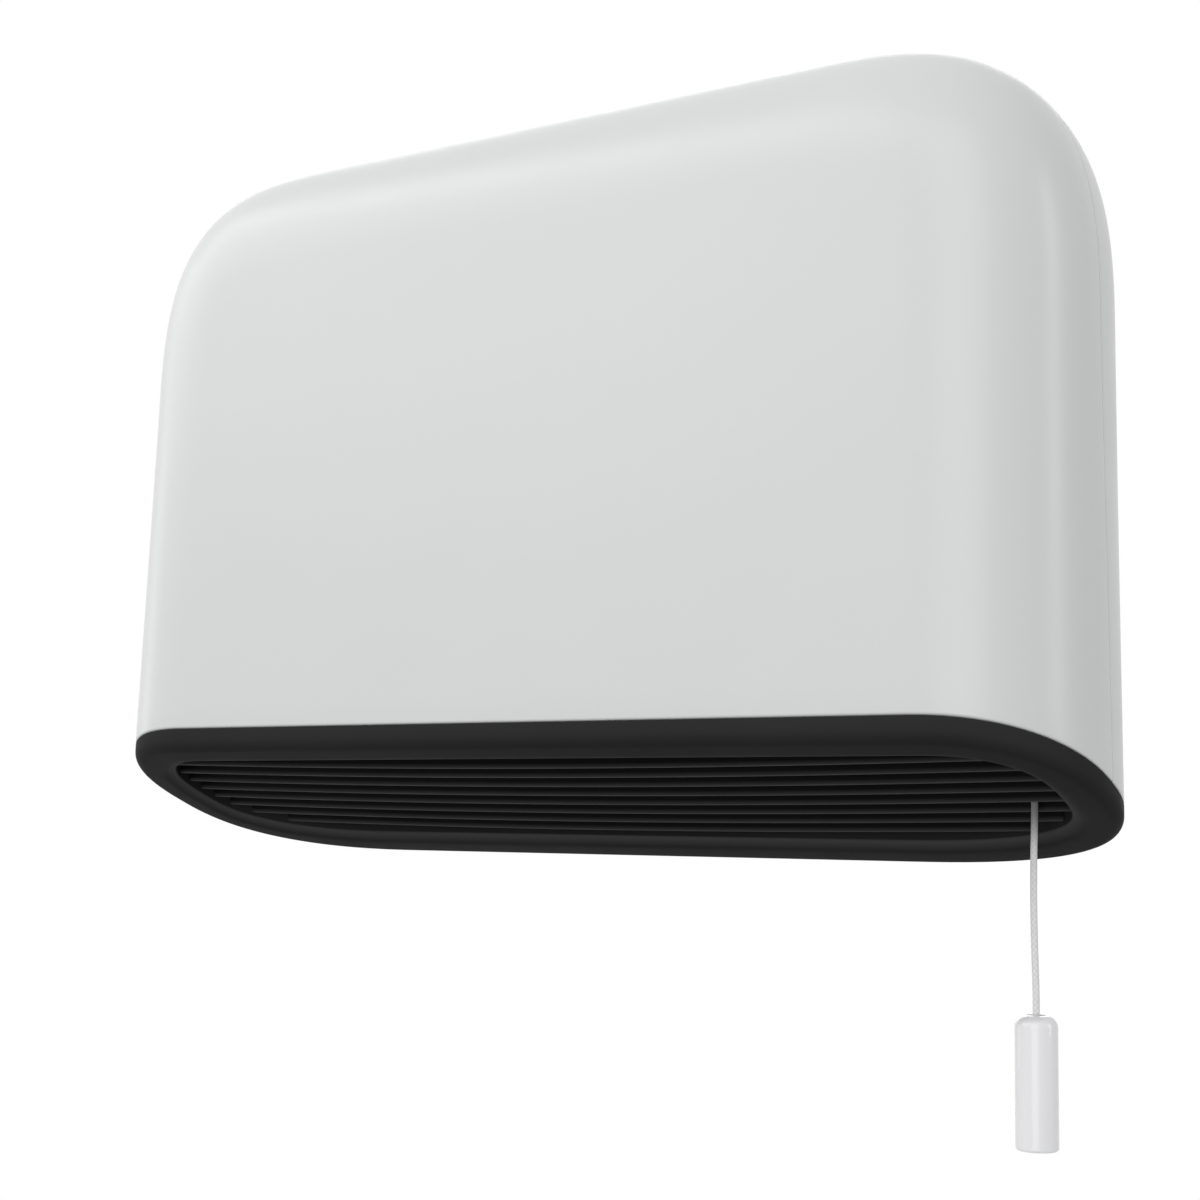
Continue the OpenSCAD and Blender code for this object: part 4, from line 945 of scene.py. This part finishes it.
# %% Where the blades are and how long
blade_count = 8
blade_pitch = 0.00636
blade_start = 0.0201
blade_t = 0.0015
blade_h = 0.012
blade_recess = 0.0017
blade_crown = 0.0018
blade_edge = 0.0006
blade_edge_steps = 5
blade_steps = 61
blade_gap = 0.00035
blade_y = -body_d + blade_start + blade_pitch * np.arange(blade_count)
opening = half_plan(ring_w + blade_gap)
opening = opening[np.argsort(opening[:, 1])]
front_half = np.interp(blade_y - blade_t / 2, opening[:, 1], opening[:, 0])
back_half = np.interp(blade_y + blade_t / 2, opening[:, 1], opening[:, 0])
blade_half = (front_half + back_half) / 2
blade_skew = (back_half - front_half) / blade_t
blade_z = outlet_z(blade_y) - ring_h + blade_recess + blade_h / 2 - mount_rise
blade_sizes = [
    ("Thickness", "Float", blade_t), ("Height", "Float", blade_h), ("Edge", "Float", blade_edge),
    ("Crown", "Float", blade_crown), ("Half width", "Float", body_w / 2 - ring_w),
    ("Steps", "Int", blade_steps), ("Edge steps", "Int", blade_edge_steps)
]
print("blades:", blade_count, "longest", round(2 * float(blade_half.max()), 4), "m")


# %% Blades grown by their tree
def blade_tree():
    tree, given, sockets = node_tree("outlet_blades", blade_sizes)
    outline = result(tree, "GeometryNodeCurvePrimitiveQuadrilateral", Width=given["Thickness"],
                     Height=given["Height"])
    soft = result(tree, "GeometryNodeFilletCurve", {"mode": "POLY"}, Curve=outline, Radius=given["Edge"],
                  Limit_Radius=True, Count=given["Edge steps"])
    line = result(tree, "GeometryNodeCurvePrimitiveLine", Start=(-1, 0, 0), End=(1, 0, 0))
    stations = result(tree, "GeometryNodeResampleCurve", Curve=line, Count=given["Steps"])
    blade = result(tree, "GeometryNodeCurveToMesh", Curve=stations, Profile_Curve=soft, Fill_Caps=True)
    place = add(tree, "ShaderNodeSeparateXYZ", None, result(tree, "GeometryNodeInputPosition")).outputs
    # down marks how near a point is to the nose, where the material paints a highlight.
    down = math_node(tree, "SUBTRACT", 0.5, math_node(tree, "DIVIDE", place["Z"], given["Height"]))
    marked = stored(tree, stored(tree, blade, "down", down), "across", place["Y"])
    half = named(tree, "half")
    stretch = result(tree, "ShaderNodeCombineXYZ", X=half, Y=1.0, Z=1.0)
    row = result(tree, "GeometryNodeInstanceOnPoints", Points=given["Geometry"], Instance=marked,
                 Scale=stretch)
    real = result(tree, "GeometryNodeRealizeInstances", Geometry=row)
    share = math_node(tree, "DIVIDE", place["X"], given["Half width"])
    rise = math_node(tree, "MULTIPLY", math_node(tree, "MULTIPLY", share, share), given["Crown"])
    slant = math_node(tree, "MULTIPLY", named(tree, "skew"), named(tree, "across"))
    slide = math_node(tree, "MULTIPLY", math_node(tree, "DIVIDE", place["X"], half), slant)
    lift = result(tree, "ShaderNodeCombineXYZ", X=slide, Y=0.0, Z=rise)
    bowed = result(tree, "GeometryNodeSetPosition", Geometry=real, Offset=lift)
    close_tree(tree, bowed, finishes["black_grille"])
    return tree, sockets


blade_points = np.column_stack([0 * blade_y, blade_y - wall_gap, blade_z])
blades = piece_from("blades", blade_points, [], finishes["black_grille"], mend=False,
                    marks={"half": blade_half, "skew": blade_skew})
grown(blades, *blade_tree(), blade_sizes)
print("faces of the blades:", len(blades.data.polygons))

# %% [markdown]
# The blades end in a thin rim that clips inside the ring, and five cross ribs stiffen them
# deep inside. Both are swept or boxed, then joined with the blades into one moulding.

# %% Rim and ribs, joined with the blades
rim_gap = 0.0003
rim_t = 0.0016
rim_up = 0.004
rim_edge = 0.0004
clip_lap = 0.0002
clip_h = 0.0014
rib_t = 0.0014
rib_h = 0.004
rib_count = 5
rib_slack = 0.0008
blade_top = ring_h - blade_recess - blade_h
rim_in = ring_w + rim_gap
rim_low = ring_h - blade_recess - blade_crown - rim_up
rim_section = (
    arc((rim_in + rim_edge, rim_low - rim_edge), rim_edge, 180, 90, 4)
    + arc((rim_in + rim_t - rim_edge, rim_low - rim_edge), rim_edge, 90, 0, 4)
    + [(rim_in + rim_t, blade_top), (rim_in, blade_top)]
)
clip_foot = -ring_up - fit_gap
clip_section = [(ring_w - ring_wall, clip_foot), (rim_in + clip_lap, clip_foot),
                (rim_in + clip_lap, clip_foot - clip_h), (ring_w - ring_wall, clip_foot - clip_h)]
rim = swept("rim", rim_section, finishes["black_grille"])
clip = swept("clip", clip_section, finishes["black_grille"])
rib_pitch = (body_w - 2 * ring_w) / rib_count - rib_slack
rim_line = half_plan(rim_in + rim_t / 2)
rim_front = rim_line[:plan_steps]
rim_back = rim_line[plan_steps:][::-1]
ribs = []
for k in range(-(rib_count // 2), rib_count // 2 + 1):
    rib_ends = [np.interp(abs(k) * rib_pitch, side[:, 0], side[:, 1]) for side in (rim_front, rim_back)]
    points = [(k * rib_pitch + s * rib_t / 2, y - wall_gap, outlet_z(y) - blade_top - h - mount_rise)
              for s in (-1, 1) for y in rib_ends for h in (0, rib_h)]
    ribs.append(piece_from(f"rib_{k}", points, block_faces, finishes["black_grille"]))


def joined(name, pieces, material):
    """One piece from several, all at the origin and of one material."""
    work = bmesh.new()
    for made in pieces:
        work.from_mesh(made.data)
        bpy.data.objects.remove(made)
    for face in work.faces:
        face.material_index = 0
    mesh = bpy.data.meshes.new(name)
    work.to_mesh(mesh)
    work.free()
    mesh.materials.append(material)
    return placed(name, mesh)


grille = joined("grille_moulded", [blades, rim, clip, *ribs], finishes["black_grille"])
settle(grille, "housing", "black_grille", "outlet_grille")

# %% [markdown]
# ## The air inlet
# On top, cool air enters between thin bars that follow the housing's curve from front to
# back. One bar is drawn from the side and given its width; Geometry Nodes repeat it along a
# line. A frame with the same section closes the row at both ends and along both edges.

# %% One bar, from the top's own curve
inlet_lip = 0.004
inlet_frame = 0.003
slot_w = 0.0036
slot_pitch = 0.0066
slot_count = int((inlet_w - 2 * inlet_frame) / slot_pitch)
bar_w = slot_pitch - slot_w
bar_proud = 0.00045
bar_deep = wall + fit_gap + bar_proud
bar_bevel = 0.0003
bar_lap = 0.0003
bar_smooth = 40
top_samples = 400


def top_line(inset, front, back, steps):
    """Points of the top's curve below the skin, from one depth to another, as (y, z)."""
    swing = np.radians(np.linspace(0, 90, top_samples))
    out = (seam_d - inset) * rounding(np.cos(swing), rear_n)
    share = 1 - rounding(np.sin(swing), rear_n)
    height = body_h - inset - share * (rear_in_top - inset)
    y = np.linspace(-front, -back, steps)
    z = np.interp(y, (-seam_d + out)[::-1], height[::-1])
    return np.column_stack([y - wall_gap, z - mount_rise])


def curved_bar(name, x0, x1, front, back, upper=0, lower=bar_deep, rows=40):
    """A bar between two depths, as wide as x0 to x1, with softened upper edges."""
    top, low, soft = [top_line(inset, front, back, rows) for inset in (upper, lower, upper + bar_bevel)]
    across = [(x0, soft), (x0 + bar_bevel, top), (x1 - bar_bevel, top), (x1, soft), (x1, low), (x0, low)]
    points = [(x, *line[i]) for i in range(rows) for x, line in across]
    return piece_from(name, points, skin(rows, len(across)), finishes["white_shell"], bar_smooth)


first_bar = -(slot_count - 1) / 2 * slot_pitch + slot_w / 2
bars = curved_bar("bars", first_bar, first_bar + bar_w, inlet_front - inlet_frame + bar_lap,
                  inlet_back + inlet_frame - bar_lap)
print("one bar", round(bar_w * 1000, 1), "mm wide")

# %% The row of bars and its frame
edge_rows = 8
flange_over = 0.003
flange_t = 0.0012
bar_sizes = [("Count", "Int", slot_count - 1), ("Pitch", "Float", slot_pitch)]


def bar_tree():
    tree, given, sockets = node_tree("inlet_bars", bar_sizes)
    step = result(tree, "ShaderNodeCombineXYZ", X=given["Pitch"], Y=0.0, Z=0.0)
    row = result(tree, "GeometryNodeMeshLine", {"mode": "OFFSET"}, Count=given["Count"], Offset=step)
    repeated = result(tree, "GeometryNodeInstanceOnPoints", Points=row, Instance=given["Geometry"])
    close_tree(tree, repeated, finishes["white_shell"])
    return tree, sockets


grown(bars, *bar_tree(), bar_sizes, bar_smooth)
row_end = slot_count / 2 * slot_pitch - bar_w / 2
frame_end = inlet_w / 2
flange = wall + fit_gap
frame_parts = [
    curved_bar("front", -frame_end, frame_end, inlet_front, inlet_front - inlet_frame, rows=edge_rows),
    curved_bar("back", -frame_end, frame_end, inlet_back + inlet_frame, inlet_back, rows=edge_rows)
]
for side in (-1, 1):
    end_span = sorted((side * row_end, side * frame_end))
    flange_span = sorted((side * row_end, side * (frame_end + inlet_lip)))
    frame_parts.append(curved_bar("end", *end_span, inlet_front, inlet_back))
    frame_parts.append(curved_bar("flange", *flange_span, inlet_front + flange_over, inlet_back - flange_over,
                                  flange, flange + flange_t))
inlet = joined("inlet_moulded", [bars, *frame_parts], finishes["white_shell"])
settle(inlet, "housing", "white_shell", "inlet_grille")
print("inlet:", slot_count, "slots of", slot_w * 1000, "mm")

# %% [markdown]
# ## Light, floor and background
# The picture has a pure white background and soft light, most of it from the upper left.
# The world is white where the camera, a reflection or a see-through surface looks at it,
# and dimmer as a lamp, so the object's colours keep their own values. Six soft boxes stand
# round the heater: two on the upper left and one in front give the housing its slow change
# of tone, one on each side draws its corners, and one behind lights its back for the other
# views. The floor is a pale disc well below the heater. It takes the heater's shadow, glows
# a little so that it looks white, and fades out before its edge can be seen.

# %% World and lamps
world_level = 0.35
middle_of_body = Vector((0, -0.04, 0))
lamp_distance = 2.0


def looked_at(tree):
    """1 for camera, glossy and transmission rays, and 0 for the rest."""
    rays = add(tree, "ShaderNodeLightPath").outputs
    first = math_node(tree, "MAXIMUM", rays["Is Camera Ray"], rays["Is Glossy Ray"])
    return math_node(tree, "MAXIMUM", first, rays["Is Transmission Ray"])


def softbox(name, azimuth, elevation, size, watts):
    """A broad lamp aimed at the heater. Azimuth 0 is straight in front and 90 is to the right."""
    turn = math.radians(azimuth)
    rise = math.radians(elevation)
    away = Vector((math.sin(turn) * math.cos(rise), -math.cos(turn) * math.cos(rise), math.sin(rise)))
    made = placed(name, bpy.data.lights.new(name, "AREA"))
    made.data.shape = "RECTANGLE"
    made.data.size, made.data.size_y = size
    made.data.energy = watts
    made.location = middle_of_body + lamp_distance * away
    made.rotation_euler = away.to_track_quat("Z", "Y").to_euler()


world = bpy.data.worlds.new("white_room")
scene.world = world
world.use_nodes = True
background = world.node_tree.nodes["Background"]
background.inputs["Color"].default_value = (1, 1, 1, 1)
level = spread(world.node_tree, looked_at(world.node_tree), world_level, 1, 0, 1)
world.node_tree.links.new(level, background.inputs["Strength"])
softbox("key", -51.5, 30, (2.1, 1.25), 11.5)
softbox("key_top", -42, 48, (1.4, 0.5), 3.2)
softbox("left", -88, 8, (0.5, 1.4), 2.2)
softbox("side", 97, 12, (0.35, 1.4), 4.9)
softbox("front", 15, 12, (1.3, 3.0), 18.8)
softbox("back", -150, 25, (1.6, 1.6), 10)
print("lamps:", len(bpy.data.lights))

# %% Floor
floor_z = -1.1
floor_r = 1.1
floor_sides = 96
floor_grey = (0.85, 0.85, 0.85, 1)
floor_roughness = 0.8
glow_share = 0.8
fade_start = 0.4 * floor_r
fade_end = 0.98 * floor_r


def floor_material():
    made = bpy.data.materials.new("pale_floor")
    made.use_nodes = True
    tree, shader = shader_of(made)
    shader.inputs["Base Color"].default_value = floor_grey
    shader.inputs["Roughness"].default_value = floor_roughness
    glow = result(tree, "ShaderNodeEmission", Strength=1.0)
    share = math_node(tree, "MULTIPLY", looked_at(tree), glow_share)
    lit = result(tree, "ShaderNodeMixShader", None, share, shader.outputs[0], glow)
    away = add(tree, "ShaderNodeVectorMath", {"operation": "DISTANCE"}, object_place(tree), (0, 0, floor_z))
    fade = spread(tree, away.outputs["Value"], 0, 1, fade_start, fade_end)
    clear = result(tree, "ShaderNodeBsdfTransparent")
    faded = result(tree, "ShaderNodeMixShader", None, fade, lit, clear)
    tree.links.new(faded, tree.nodes["Material Output"].inputs["Surface"])
    return made


floor_points = [(floor_r * math.cos(t), floor_r * math.sin(t), floor_z) for t in round_about(floor_sides)]
floor = piece_from("floor", floor_points, [tuple(range(floor_sides))], floor_material(), mend=False)
print("floor at", floor_z, "m")
